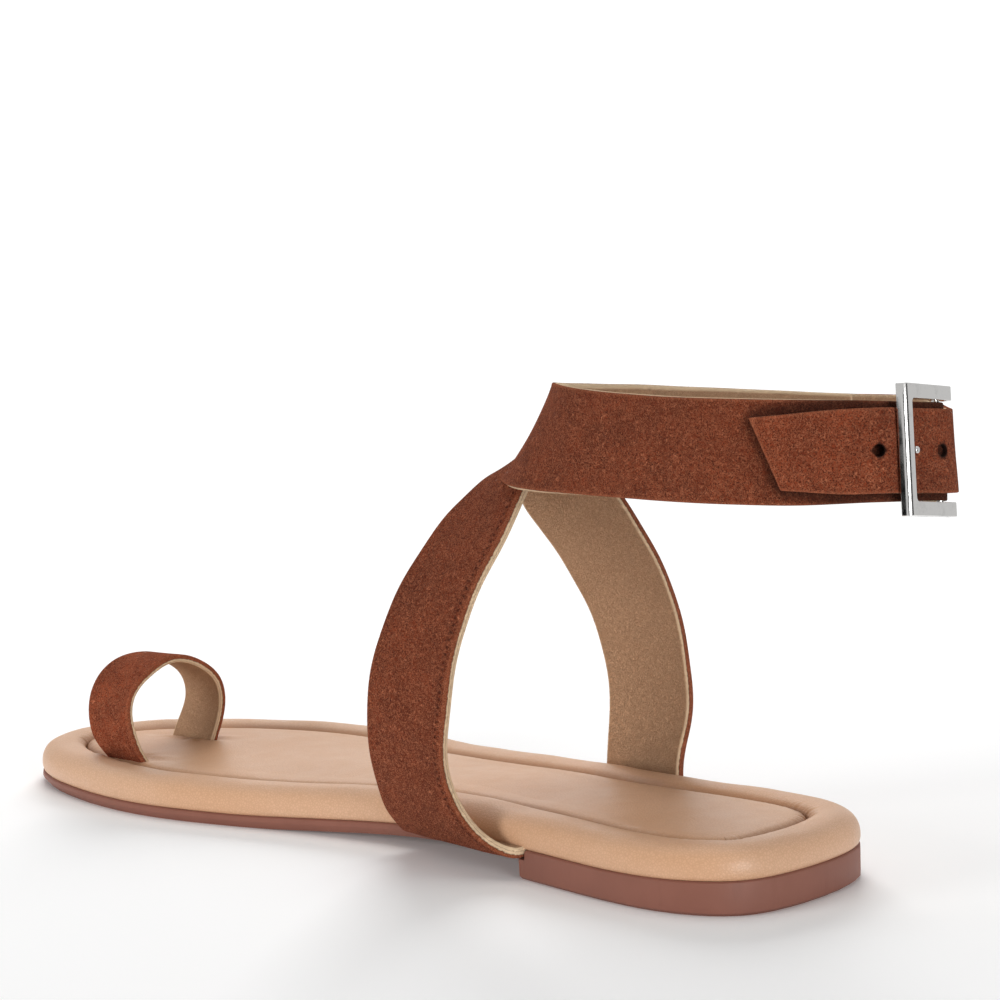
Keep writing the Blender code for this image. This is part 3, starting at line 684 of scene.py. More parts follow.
# %% Curve helpers
def cubic(knots, values, at, closed=False):
    """Smooth curve through the rows of values at the given places."""
    last = len(knots) - 1
    step = np.diff(knots)
    slope = np.diff(values, axis=0) / step[:, None]
    system = np.zeros((last + 1, last + 1))
    right = np.zeros((last + 1, values.shape[1]))
    for k in range(1, last):
        system[k, k - 1:k + 2] = step[k - 1], 2 * (step[k - 1] + step[k]), step[k]
        right[k] = 6 * (slope[k] - slope[k - 1])
    system[0, 0] = 1.0
    system[last, last] = 1.0
    if closed:
        system[0, last] = -1.0
        system[last, :2] = 2 * step[0], step[0]
        system[last, last - 1:] = step[-1], 2 * step[-1]
        right[last] = 6 * (slope[0] - slope[-1])
    bend = np.linalg.solve(system, right)
    part = np.clip(np.searchsorted(knots, at, side="right") - 1, 0, last - 1)
    width = step[part][:, None]
    a = (knots[part + 1] - at)[:, None] / width
    b = 1.0 - a
    curve = a * values[part] + b * values[part + 1]
    return curve + ((a ** 3 - a) * bend[part] + (b ** 3 - b) * bend[part + 1]) * width ** 2 / 6


def chords(points, power=1.0):
    """Running chord length of the rows, with each chord raised to the power."""
    lengths = np.linalg.norm(np.diff(points, axis=0), axis=1) ** power
    return np.concatenate(([0.0], np.cumsum(lengths)))


def unit(vectors):
    """Vectors of length one."""
    return vectors / np.linalg.norm(vectors, axis=-1, keepdims=True)


# %% Strap from a grid
STEP_ALONG = 1.1
CUT_ROUND = 0.42
WAVE_FADE = 12.0           # millimetres at a strap's ends over which it lies flat


def unevenness(run, across):
    """Low waves of a bent strap, in millimetres, from places along and across it."""
    wide = 0.16 * np.sin(run / 7.3 + across / 9.1) * np.sin(across / 6.2 - run / 19.0)
    return wide + 0.10 * np.sin(run / 3.1 - across / 5.3 + 1.0)


def shaped_strap(name, outer, thick, side, join, beaded=False, crease=None):
    """A strap whose outer face is a grid of points, thickened towards the foot."""
    rows, across = outer.shape[:2]
    normal = unit(np.cross(np.gradient(outer, axis=0), np.gradient(outer, axis=1))) * side
    middle = outer[:, across // 2]
    run = chords(middle)[:, None] + np.zeros((rows, across))
    from_first = np.linalg.norm(outer - outer[:, :1], axis=2)
    from_last = np.linalg.norm(outer - outer[:, -1:], axis=2)
    fade = np.clip(np.minimum(run, run[-1] - run) / WAVE_FADE, 0.0, 1.0)
    outer = outer + normal * (unevenness(run, from_first) * fade)[:, :, None]
    inner = outer - normal * np.reshape(thick, (-1, 1, 1))
    values = {"run": run, "join": np.full(run.shape, join),
              "edge": np.minimum(np.minimum(from_first, from_last), run[-1] - run),
              "bead": from_first if beaded else np.full(run.shape, NO_BEAD),
              "crease": np.zeros(run.shape) if crease is None else crease(outer)}

    bpy.ops.object.select_all(action="DESELECT")
    bpy.ops.mesh.primitive_grid_add(x_subdivisions=across - 1, y_subdivisions=rows - 1,
                                    size=1.0)
    piece = bpy.context.object
    piece.name = name
    spots = np.array([vertex.co[:2] for vertex in piece.data.vertices]) + 0.5
    column = np.rint(spots[:, 0] * (across - 1)).astype(int)
    row = np.rint(spots[:, 1] * (rows - 1)).astype(int)
    paint(piece, "number", row * across + column)
    bpy.ops.object.mode_set(mode="EDIT")
    bpy.ops.mesh.select_all(action="SELECT")
    bpy.ops.mesh.extrude_region_move()
    bpy.ops.object.mode_set(mode="OBJECT")
    number = np.rint(read_paint(piece, "number")).astype(int)
    layer = np.arange(len(number)) >= rows * across
    points = np.where(layer[:, None], inner.reshape(-1, 3)[number],
                      outer.reshape(-1, 3)[number])
    place_vertices(piece, points)
    paint(piece, "layer", layer)
    for label, value in values.items():
        paint(piece, label, value.ravel()[number])
    bpy.ops.object.mode_set(mode="EDIT")
    bpy.ops.mesh.select_all(action="SELECT")
    bpy.ops.mesh.normals_make_consistent(inside=False)
    bpy.ops.object.mode_set(mode="OBJECT")
    apply_modifier(piece, "BEVEL", width=CUT_ROUND * MM, segments=3, limit_method="ANGLE",
                   angle_limit=math.radians(55), harden_normals=False)
    return piece


def steps_for(length, step):
    """Number of rows of points for a length."""
    return int(math.ceil(length / step)) + 1


def ribbon(table, across=24):
    """Outer face of a strap from a table of its two edges."""
    rows = np.array(table, float)
    knots = chords((rows[:, :3] + rows[:, 3:]) / 2)
    line = cubic(knots, rows, np.linspace(0.0, knots[-1], steps_for(knots[-1], STEP_ALONG)))
    share = np.linspace(0.0, 1.0, across)[None, :, None]
    toe, heel = line[:, None, :3], line[:, None, 3:]
    return heel + (toe - heel) * share


# %% [markdown]
# ### Wishbone strap
# One strap runs from the sole's inner side over the instep to its outer side, and its two
# arms meet in a point where the ankle band crosses it. The table gives both of its edges, so
# the twist from the upright arms to the sloping middle comes by itself. A bent and mirrored
# single arm would be shorter to write, but the two arms of a right shoe aren't alike.

# %% Wishbone table
WISHBONE = (                   # x, y, z of the toe-side edge, then of the heel-side edge
    (-14.5, 103.0, 4.8, -17.0, 61.5, 6.0),
    (-21.0, 103.3, 4.8, -25.2, 61.3, 6.0),
    (-24.8, 103.6, 4.6, -29.4, 62.4, 4.9),
    (-28.2, 103.9, 7.6, -32.2, 67.4, 6.6),
    (-32.5, 103.5, 14.0, -35.0, 74.1, 13.2),
    (-36.1, 102.4, 23.8, -36.9, 77.4, 22.1),
    (-38.2, 100.6, 40.8, -38.2, 75.6, 38.2),
    (-33.8, 98.3, 56.9, -35.7, 73.5, 54.8),
    (-24.5, 96.2, 70.9, -28.8, 71.2, 70.0),
    (-12.6, 94.5, 81.5, -16.9, 71.6, 83.8),
    (0.6, 90.8, 86.0, 0.6, 75.4, 98.5),
    (4.9, 91.7, 79.2, 8.0, 72.4, 90.7),
    (9.3, 92.5, 75.4, 15.0, 70.4, 81.6),
    (19.9, 93.8, 65.0, 26.1, 70.7, 68.1),
    (29.2, 94.9, 53.0, 34.4, 71.4, 54.5),
    (35.9, 95.5, 39.7, 38.6, 71.6, 40.2),
    (38.4, 96.2, 25.5, 39.4, 71.9, 25.7),
    (38.8, 97.8, 12.5, 37.4, 73.2, 12.8),
    (38.3, 98.3, 6.6, 36.0, 72.6, 7.0),
    (35.8, 98.5, 4.7, 33.0, 71.8, 4.9),
    (32.0, 98.6, 4.8, 29.0, 71.5, 5.7),
    (25.0, 98.6, 4.8, 22.0, 71.5, 5.7),
)
STRAP_THICK = 2.4

# %% Wishbone strap
EVEN_ROUNDS = 36
EVEN_ABOVE = (22.0, 37.0)      # heights between which the evening sets in
EVEN_ASIDE = (4.0, 12.0)       # distances from the middle between which it sets in
JOIN_SIDES = (-6.0, 6.0)
JOIN_DEPTHS = (0.34, 0.76)     # depth at which the lining begins, inner and outer side
APEX = np.array((0.6, 82.0, 91.0))
APEX_REACH = 11.0


def near_apex(points):
    """How strongly the suede is creased, most where wishbone and band cross."""
    return np.exp(-(np.linalg.norm(points - APEX, axis=-1) / APEX_REACH) ** 2)


def evened(rows):
    """The rows with slow waves evened out, but for the feet and where the sides meet."""
    free = np.interp(rows[:, :, 2:], EVEN_ABOVE, (0.0, 1.0))
    free = free * np.interp(np.abs(rows[:, :, :1]), EVEN_ASIDE, (0.0, 1.0))
    for _ in range(EVEN_ROUNDS):
        middle = (rows[:-2] + rows[2:]) / 2
        rows[1:-1] += (middle - rows[1:-1]) * 0.5 * free[1:-1]
    return rows


outer = evened(ribbon(WISHBONE))
wishbone = shaped_strap("wishbone_strap", outer, STRAP_THICK, 1.0, 0.30, True, near_apex)
side_of = coordinates(wishbone)[:, 0]
paint(wishbone, "join", np.interp(side_of, JOIN_SIDES, JOIN_DEPTHS))
smooth(wishbone)
dress(wishbone, SUEDE, "upper_straps")

# %% [markdown]
# ### Ankle band and strap end
# The ankle band and the strap end are walls round the ankle. The rows that lie inside the
# buckle are given in the buckle's own frame, so both run through it as they do on the real
# shoe, and the free end is laid a little outside the band, whose face it follows.

# %% Buckle frame of reference
BUCKLE_AT = (0.2, -28.4, 97.2)
BUCKLE_LONG = (0.985, 0.125, -0.121)
BUCKLE_UP = (0.105, 0.128, 0.986)
RING_MIDDLE = (1.0, 22.0)


def buckle_axes():
    """The buckle's long axis, its axis out of the leg, and its upright axis."""
    long_axis = unit(np.array(BUCKLE_LONG))
    up = np.array(BUCKLE_UP)
    up = unit(up - long_axis * (up @ long_axis))
    return long_axis, np.cross(long_axis, up), up


def buckle_point(along, out, up=0.0):
    """A point of the buckle's own frame in the sole's millimetres."""
    long_axis, out_axis, up_axis = buckle_axes()
    return np.array(BUCKLE_AT) + long_axis * along + out_axis * out + up_axis * up


def buckle_row(along, out, high, thick):
    """A strap station in the buckle: upper edge, lower edge and thickness."""
    return np.concatenate([buckle_point(along, out, high / 2),
                           buckle_point(along, out, -high / 2), [thick]])


# %% Wall helpers
def plan_outward(plan):
    """Plan directions out of the ankle ring along a line of points."""
    along = unit(np.gradient(plan, axis=0))
    outward = np.stack([-along[:, 1], along[:, 0]], axis=1)
    if (outward * (plan - RING_MIDDLE)).sum() < 0:
        outward = -outward
    return outward


def edge_rows(table):
    """Band table rows turned into upper edge, lower edge and thickness."""
    table = np.array(table, float)
    outward = plan_outward(table[:, :2])
    lower = np.column_stack([table[:, :2] + outward * table[:, 4:5], table[:, 3]])
    return np.column_stack([table[:, :3], lower, table[:, 5]])


def run_of(rows):
    """Running plan length of a strap, along the middle of its height."""
    rows = np.array(rows)
    return chords((rows[:, :2] + rows[:, 3:5]) / 2)


def stations(rows, at):
    """Upper edges, lower edges and thicknesses of a strap at the given runs."""
    line = cubic(run_of(rows), rows, at)
    return line[:, :3], line[:, 3:6], line[:, 6]


def wall(upper, lower, curve, across):
    """Outer face between the two edges, hollow when the curve is over one."""
    up = np.linspace(0.0, 1.0, across)[None, :, None]
    stands = (1.0 - up) ** np.reshape(curve, (-1, 1, 1))
    flat = upper[:, None, :2] + (lower - upper)[:, None, :2] * stands
    height = lower[:, None, 2:] + (upper - lower)[:, None, 2:] * up
    return np.concatenate([flat, height], axis=2)


# %% Ankle band
BAND_IN_BUCKLE = (           # along the frame, out of it, height, thickness
    (6.0, 0.65, 20.2, 0.9),
    (1.2, -1.25, 20.2, 1.0),
    (-2.2, -2.7, 20.3, 1.2),
    (-5.6, -3.8, 20.4, 1.5),
)
BAND = (          # x, y of the upper edge, top, bottom, how far the foot stands out, thickness
    (-14.5, -19.6, 108.2, 87.4, 1.3, 2.2),
    (-20.5, -11.0, 108.4, 87.0, 0.8, 2.4),
    (-24.8, 0.0, 108.5, 86.9, 0.5, 2.4),
    (-27.0, 12.0, 108.5, 86.8, 0.5, 2.4),
    (-27.2, 26.0, 108.6, 86.8, 1.0, 2.4),
    (-25.2, 40.0, 108.8, 86.8, 2.8, 2.4),
    (-20.5, 53.0, 109.0, 86.7, 6.5, 2.4),
    (-12.0, 65.0, 108.8, 86.5, 11.0, 2.4),
    (0.9, 72.5, 107.6, 86.0, 15.5, 2.4),
    (13.5, 66.0, 106.6, 85.2, 11.0, 2.4),
    (22.0, 54.0, 105.8, 84.6, 6.5, 2.4),
    (27.0, 40.0, 105.3, 84.1, 2.8, 2.4),
    (28.8, 26.0, 105.1, 83.9, 1.0, 2.4),
    (28.4, 11.0, 105.2, 84.0, 0.4, 2.4),
)
BAND_CURVE = 1.25
CURVE_RUN = 12.0
PIN_AT = (7.3, -1.3)         # along the frame, out of its middle plane
PIN_RADIUS = 0.8
FOLD_GAP = 0.1
FOLD_THICK = 0.75
FOLD_TAIL = 5.0


def band_rows():
    """All rows of the ankle band, the ones in the buckle first."""
    inside = np.array([buckle_row(*row) for row in BAND_IN_BUCKLE])
    return np.concatenate([inside, edge_rows(BAND)])


def band_curve(rows, at):
    """How hollow the band is at the given runs: straight in the buckle."""
    first = run_of(rows)[len(BAND_IN_BUCKLE)]
    return np.interp(at, [first, first + CURVE_RUN], [1.0, BAND_CURVE])


def fold_stations():
    """The band's folded end round the hinge pin, from its tail, in the buckle's frame."""
    reach = PIN_RADIUS + FOLD_GAP + FOLD_THICK
    places = [(PIN_AT[0] - FOLD_TAIL * share, PIN_AT[1] - reach)
              for share in (1.0, 0.75, 0.5, 0.25)]
    for turn in np.radians(np.linspace(-90, 90, 17)):
        places.append((PIN_AT[0] + reach * math.cos(turn), PIN_AT[1] + reach * math.sin(turn)))
    return places


def band_face():
    """Outer face and thickness of the ankle band, from its folded end to the join."""
    rows = band_rows()
    total = run_of(rows)[-1]
    base = np.linspace(0.0, total, steps_for(total, STEP_ALONG))
    upper, lower, thick = stations(rows, base)
    half = BAND_IN_BUCKLE[0][2] / 2
    fold = fold_stations()
    upper = np.concatenate([[buckle_point(*spot, half) for spot in fold], upper])
    lower = np.concatenate([[buckle_point(*spot, -half) for spot in fold], lower])
    thick = np.concatenate([np.full(len(fold), FOLD_THICK), thick])
    curve = np.concatenate([np.ones(len(fold)), band_curve(rows, base)])
    return wall(upper, lower, curve, 21), thick


outer, thick = band_face()
BAND_JOIN = 0.20               # depth at which the lining begins, of the thickness
band = shaped_strap("ankle_band", outer, thick, -1.0, BAND_JOIN, False, near_apex)
smooth(band)
dress(band, SUEDE, "upper_straps")

# %% [markdown]
# ### Holed strap end
# On the real shoe this end comes round the heel from the outer side, goes through the
# buckle and lies on the band, with its raked tip towards the toe. It follows the band's own
# face at a small distance that grows towards the tip. The holes are punched by a boolean
# with a cylinder, as a punch does, because faces left out of the grid would be square.

# %% Strap end tables
STRAP_ROUND = (                # columns as the band's
    (28.32, 11.35, 105.2, 84.0, 0.4, 2.2),
    (26.7, -1.5, 105.6, 84.9, 0.6, 2.2),
    (22.2, -13.2, 105.5, 86.0, 1.0, 2.0),
    (15.4, -22.5, 104.8, 86.9, 1.5, 1.8),
)
STRAP_IN_BUCKLE = ((7.3, 1.95), (0.0, 0.3), (-5.3, -1.45), (-8.2, -1.8))   # along, out
STRAP_HIGH = 17.2
STRAP_THIN = 1.6
STRAP_FREE = (                 # run along the band, stand-off, top, bottom
    (0.0, 0.45, 106.6, 89.5),
    (6.0, 0.7, 106.2, 89.9),
    (12.0, 1.1, 105.6, 90.3),
    (18.5, 1.7, 105.0, 90.8),
)
TIP_RAKE = 6.5                 # how far the upper corner of the tip runs past the lower one
TIP_RUN = 9.0
HOLE_RADIUS = 1.25
HOLES = (-14.2, 5.0)
PEG_AT = -4.1

# %% Strap end helpers
def strap_rows():
    """All rows of the strap end: round the heel, through the buckle, over the band."""
    inside = [buckle_row(along, out, STRAP_HIGH, STRAP_THIN) for along, out in STRAP_IN_BUCKLE]
    table = band_rows()
    first = run_of(table)[len(BAND_IN_BUCKLE)]
    free = []
    for along, lift, top, bottom in STRAP_FREE:
        reach = first + along + np.array([-0.5, 0.0, 0.5])
        upper, lower, thick = stations(table, reach)
        outward = plan_outward((upper + lower)[:, :2] / 2)[1]
        edges = []
        for z in (top, bottom):
            share = (z - lower[1, 2]) / (upper[1, 2] - lower[1, 2])
            stands = (1.0 - share) ** band_curve(table, reach[1])
            place = upper[1, :2] + (lower - upper)[1, :2] * stands
            edges += list(place + outward * (lift + STRAP_THIN)) + [z]
        free.append(edges + [STRAP_THIN])
    return np.concatenate([edge_rows(STRAP_ROUND), inside, free])


def punch(strap, centre, aim):
    """Punch one round hole through the strap."""
    bpy.ops.mesh.primitive_cylinder_add(vertices=48, radius=HOLE_RADIUS * MM, depth=7 * MM,
                                        location=[float(part) for part in
                                                  (np.array(centre) - CENTRE) * MM])
    cutter = bpy.context.object
    cutter.rotation_euler = aim.to_track_quat("Z", "Y").to_euler()
    bpy.context.view_layer.update()
    apply_modifier(strap, "BOOLEAN", operation="DIFFERENCE", solver="EXACT", object=cutter)
    bpy.data.objects.remove(cutter, do_unlink=True)


def hole_station(line, along):
    """The point of the strap's fine middle line that is nearest to a hole."""
    gap = np.linalg.norm(line[:, :2] - buckle_point(along, -1.0)[:2], axis=1)
    return int(np.argmin(gap))


# %% Make the strap end
rows = strap_rows()
total = run_of(rows)[-1]
base = np.linspace(0.0, total, steps_for(total, STEP_ALONG))
rake = np.clip((base - (total - TIP_RUN)) / TIP_RUN, 0.0, 1.0) * TIP_RAKE
upper, lower, thick = stations(rows, base)
lower = stations(rows, base - rake)[1]
end = shaped_strap("holed_strap_end", wall(upper, lower, 1.0, 17), thick, -1.0, 0.40)
print("strap end runs", round(float(total), 1), "mm")

# %% Punch the holes
FINE_STATIONS = 900
END_JOIN = 0.7
upper, lower, thick = stations(rows, np.linspace(0.0, total, FINE_STATIONS))
middles = (upper + lower) / 2
outward = plan_outward(middles[:, :2])
for along in HOLES:
    nearest = hole_station(middles, along)
    punch(end, middles[nearest], Vector((*outward[nearest], 0.0)))
punch(end, buckle_point(PEG_AT, -1.8), Vector(buckle_axes()[1]))
paint(end, "join", np.full(len(end.data.vertices), END_JOIN))

# %% Shade the holes
HOLE_DARK = 1.2                # millimetres round a hole whose new faces count as its wall
spots = coordinates(end)
hollow = np.zeros(len(spots))
for along in (*HOLES, PEG_AT):
    middle = middles[hole_station(middles, along)]
    away = np.hypot(np.linalg.norm(spots[:, :2] - middle[:2], axis=1), spots[:, 2] - middle[2])
    hollow = np.maximum(hollow, away < HOLE_RADIUS + HOLE_DARK)
paint(end, "shade", hollow * (read_paint(end, "number") < 0.5))
smooth(end)
dress(end, SUEDE_LIT_END, "strap_end")

# %% Shade the band beside the strap end
SHADE_REACH = 3.6              # millimetres from the strap end where the shade ends
SHADE_FADE = 2.0
SHADE_MOST = 0.75
strap_spots = kdtree.KDTree(len(spots))
for index, spot in enumerate(spots):
    strap_spots.insert(spot, index)
strap_spots.balance()
away = np.array([strap_spots.find(spot)[2] for spot in coordinates(band)])
close = np.clip((SHADE_REACH - away) / SHADE_FADE, 0.0, 1.0)
paint(band, "shade", SHADE_MOST * close * (read_paint(band, "layer") < 0.5))

# %% [markdown]
# ### Toe loop
# A short strap stands up from the rim's seam, arches over the big toe and goes down through
# a slit in the panel. It is made as the wishbone is, from a table of its two edges.

# %% Toe loop
TOE_LOOP = (                   # columns as the wishbone's
    (-22.9, 215.4, 5.6, -23.6, 199.6, 5.7),
    (-25.2, 215.6, 8.6, -26.2, 199.6, 8.8),
    (-28.7, 217.5, 15.6, -28.9, 201.9, 19.0),
    (-27.2, 219.8, 24.6, -25.6, 204.0, 26.7),
    (-20.2, 220.9, 31.3, -18.9, 205.0, 31.3),
    (-10.7, 221.3, 33.4, -10.6, 205.4, 33.8),
    (-1.5, 221.1, 31.4, -2.0, 205.1, 31.9),
    (5.1, 220.9, 26.8, 4.5, 205.0, 25.9),
    (7.2, 221.6, 19.4, 6.1, 205.7, 17.6),
    (4.2, 222.7, 10.6, 4.0, 206.8, 9.6),
    (2.4, 223.1, 5.7, 2.6, 207.2, 5.7),
)
LOOP_THICK = 2.0
LOOP_JOIN = 0.55
loop = shaped_strap("toe_strap", ribbon(TOE_LOOP, 20), LOOP_THICK, 1.0, LOOP_JOIN)
smooth(loop)
dress(loop, SUEDE_LIT_TOE, "toe_loop")

# %% [markdown]
# ## Sole
# The footbed's rim and its panel follow one plan outline. Each starts as a circle of
# vertices that are set on the outline, and its rings of faces are extruded one after
# another. The share of the way round is painted on the vertices before the first extrude,
# so every new ring knows its place on the outline.

# %% Plan outline
PLAN = (                       # y, x of the inner side, x of the outer side
    (2.0, -19.9, 10.5), (7.0, -26.0, 21.4), (17.0, -30.4, 29.0), (32.0, -31.5, 32.5),
    (50.0, -29.8, 32.0), (70.0, -27.2, 31.5), (90.0, -24.0, 33.7), (110.0, -23.1, 36.5),
    (130.0, -26.5, 39.2), (150.0, -32.1, 42.3), (172.0, -38.3, 44.5), (192.0, -40.4, 43.0),
    (212.0, -38.4, 36.3), (228.0, -34.4, 26.4), (240.0, -28.0, 15.3), (246.5, -20.5, 5.6),
)
HEEL_TIP = (-8.0, 0.0)
TOE_TIP = (-8.0, 250.0)
SEAM = ((0.0, 7.8), (35.0, 7.1), (63.5, 7.1), (85.0, 6.7), (100.0, 6.0), (115.0, 5.1),
        (130.0, 4.2), (147.0, 3.4), (155.0, 3.2), (205.0, 3.1), (225.0, 3.2), (250.0, 3.4))


def make_outline(count):
    """Evenly spaced points round the sole, with the inward direction at each."""
    rows = [HEEL_TIP] + [(outer, y) for y, inner, outer in PLAN] + [TOE_TIP]
    rows += [(inner, y) for y, inner, outer in reversed(PLAN)] + [HEEL_TIP]
    rows = np.array(rows)
    knots = chords(rows, 0.5)
    dense = cubic(knots, rows, np.linspace(0.0, knots[-1], 6001), closed=True)
    run = chords(dense)
    even = np.linspace(0.0, run[-1], count + 1)[:-1]
    line = np.column_stack([np.interp(even, run, dense[:, axis]) for axis in (0, 1)])
    along = np.roll(line, -1, axis=0) - np.roll(line, 1, axis=0)
    inward = np.column_stack([-along[:, 1], along[:, 0]])
    inward /= np.linalg.norm(inward, axis=1, keepdims=True)
    return line, inward, run[-1]


ROUND_COUNT = 960
OUTLINE, INWARD, AROUND = make_outline(ROUND_COUNT)
print("sole outline is", round(AROUND, 1), "mm round")


def seam_height(y):
    """Height of the seam between footbed and outsole."""
    rows = np.array(SEAM)
    return np.interp(y, rows[:, 0], rows[:, 1])


# %% Rings round the sole
def extrude_rings(name, count, rings, shape):
    """A circle extruded into rings; shape(ring) gives each ring's points."""
    bpy.ops.object.select_all(action="DESELECT")
    bpy.ops.mesh.primitive_circle_add(vertices=count, radius=0.05)
    piece = bpy.context.object
    piece.name = name
    paint(piece, "share", np.arange(count) / count)
    paint(piece, "ring", np.zeros(count))
    bpy.ops.object.mode_set(mode="EDIT")
    bpy.ops.mesh.select_all(action="SELECT")
    bpy.ops.object.mode_set(mode="OBJECT")
    for ring in range(1, rings):
        bpy.ops.object.mode_set(mode="EDIT")
        bpy.ops.mesh.extrude_edges_indiv()
        bpy.ops.object.mode_set(mode="OBJECT")
        number = read_paint(piece, "ring")
        number[count * ring:] = ring
        paint(piece, "ring", number)
    order = np.rint(read_paint(piece, "share") * count).astype(int) % count
    points = np.empty((len(order), 3))
    for ring in range(rings):
        chosen = np.flatnonzero(np.rint(number) == ring)
        points[chosen] = shape(ring)[order[chosen]]
    place_vertices(piece, points)
    return piece, order


def smooth_rows(rows, count):
    """More rows between the given ones, on a smooth line."""
    rows = np.array(rows, float)
    knots = chords(rows)
    at = np.linspace(0.0, knots[-1], count)
    tangent = np.gradient(rows, knots, axis=0)
    part = np.clip(np.searchsorted(knots, at, side="right") - 1, 0, len(rows) - 2)
    width = (knots[part + 1] - knots[part])[:, None]
    t = ((at - knots[part])[:, None]) / width
    return ((2 * t ** 3 - 3 * t ** 2 + 1) * rows[part]
            + (t ** 3 - 2 * t ** 2 + t) * width * tangent[part]
            + (3 * t ** 2 - 2 * t ** 3) * rows[part + 1]
            + (t ** 3 - t ** 2) * width * tangent[part + 1])


# %% Pull at the toe loop's feet
TOE_FEET = (((-23.0, 215.4), (-23.8, 199.6)), ((2.4, 223.1), (2.6, 207.2)))
PULL_DEEP = 0.55
RIPPLE_HIGH = 0.22
RIPPLES = 9.0              # ripples in one turn round a foot


def pulled(flat):
    """Lift of the leather round the slots of the toe loop: a dip with ripples round it."""
    lift = np.zeros(len(flat))
    for a, b in TOE_FEET:
        a, b = np.array(a), np.array(b)
        share = np.clip((flat - a) @ (b - a) / ((b - a) @ (b - a)), 0.0, 1.0)
        away = np.linalg.norm(flat - (a + share[:, None] * (b - a)), axis=1)
        turn = np.arctan2(flat[:, 1] - (a[1] + b[1]) / 2, flat[:, 0] - (a[0] + b[0]) / 2)
        lift += -PULL_DEEP * np.exp(-(away / 2.6) ** 2)
        ripple = np.sin(turn * RIPPLES + share * 5.0) * np.exp(-((away - 3.5) / 3.2) ** 2)
        lift += RIPPLE_HIGH * ripple
    return lift


# %% [markdown]
# ### Footbed rim
# The rim is leather wrapped over foam and pulled into the groove beside the panel. Its round
# section is a short table, drawn round the outline. The puckers at the groove are strongest
# where the outline bends most, because there is most leather to gather. A swept curve would
# give the section too, but not rings of faces that the puckers can be set on.

# %% Footbed rim
RIM = ((0.7, -0.1), (0.25, 0.35), (0.05, 1.1), (0.0, 2.1), (0.3, 3.8), (1.3, 5.5),
       (3.2, 6.7), (5.8, 7.1), (8.4, 6.9), (10.2, 6.3), (11.1, 5.4), (11.4, 4.2), (11.4, 2.2))
RIM_RINGS = 34
GROOVE_INSET = 11.5
PUCKER_REACH = 2.2         # how far from the groove the puckers run out
RIM_PROFILE = smooth_rows(RIM, RIM_RINGS)
SHARE = np.arange(ROUND_COUNT) / ROUND_COUNT


def waves(seeds, lengths):
    """A sum of sine waves round the outline, between -1 and 1, for soft unevenness."""
    total = np.zeros(ROUND_COUNT)
    for seed, length in zip(seeds, lengths):
        turns = max(1, round(AROUND / length))
        total += np.sin(2 * np.pi * (turns * SHARE + seed))
    return total / len(lengths)


def tightness():
    """How strongly the leather is gathered: most at the heel's corners and at the toe."""
    turn = np.unwrap(np.arctan2(INWARD[:, 1], INWARD[:, 0]))
    bend = np.abs(np.gradient(np.concatenate([turn, [turn[0] + 2 * np.pi]]))[:-1])
    bend = bend * ROUND_COUNT / AROUND
    kernel = np.hanning(41)
    padded_bend = np.concatenate([bend[-20:], bend, bend[:20]])
    bend = np.convolve(padded_bend, kernel / kernel.sum(), mode="valid")
    return np.clip((bend - 0.012) / 0.030, 0.0, 1.0)


GATHER = tightness()
PUCKER = waves((0.1, 0.55, 0.8), (2.3, 3.1, 4.7))
SWELL = waves((0.3, 0.7), (23.0, 41.0))


def rim_ring(ring):
    """Points of one ring of the padded rim."""
    inset, rise = RIM_PROFILE[ring]
    near = np.exp(-((GROOVE_INSET - inset) / PUCKER_REACH) ** 2)
    lift = SWELL * 0.18 * np.exp(-((inset - 6.0) / 3.5) ** 2)
    lift = lift + PUCKER * near * (0.05 + 0.30 * GATHER)
    flat = OUTLINE + INWARD * inset
    lift = lift + pulled(flat) * min(1.0, inset / 5.0)
    return np.column_stack([flat, seam_height(flat[:, 1]) + rise + lift])


rim, rim_order = extrude_rings("footbed_rim", ROUND_COUNT, RIM_RINGS, rim_ring)
inset_now = np.linalg.norm(coordinates(rim)[:, :2] - OUTLINE[rim_order], axis=1)
paint(rim, "groove", np.abs(GROOVE_INSET - inset_now))
bpy.ops.object.mode_set(mode="EDIT")
bpy.ops.mesh.select_all(action="SELECT")
bpy.ops.mesh.normals_make_consistent(inside=False)
bpy.ops.object.mode_set(mode="OBJECT")
smooth(rim, 60)
dress(rim, LEATHER, "footbed")

# %% [markdown]
# ### Insole panel
# A thin cushion fills the rim. It is drawn inwards ring by ring from the groove to the
# sole's middle line, where each point meets the one across from it and the two are merged,
# so no large face is left to crease. The foam is thin and glued down, so a cloth simulation
# has nothing to settle: a crown, slow waves and a hollow at the arch are given.

# %% Insole panel
PANEL = ((11.75, 2.6), (11.55, 4.2), (11.95, 5.3), (13.1, 6.1), (15.4, 6.5), (18.5, 6.6))
PANEL_EDGE_RINGS = 14
PANEL_INNER_RINGS = 26
PANEL_PROFILE = smooth_rows(PANEL, PANEL_EDGE_RINGS)
CROWN = 0.35
MIDDLE_ENDS = (16.0, 18.0)     # how far the middle line stops short of the panel's ends
HOLLOW = (-1.0, 80.0, -7.0, 15.0)    # depth, y and x of the hollow at the arch, its reach


def middle_line(flat):
    """Places on the panel's middle line, the same for each pair of points across it."""
    low = flat[:, 1].min() + MIDDLE_ENDS[0]
    high = flat[:, 1].max() - MIDDLE_ENDS[1]
    turn = (np.arange(len(flat)) - np.argmin(OUTLINE[:, 1])) % len(flat) / len(flat)
    y_mid = low + (high - low) * (1.0 - np.abs(1.0 - 2.0 * turn))
    rows = np.array(PLAN)
    x_mid = np.interp(y_mid, rows[:, 0], (rows[:, 1] + rows[:, 2]) / 2)
    return np.column_stack([x_mid, y_mid])


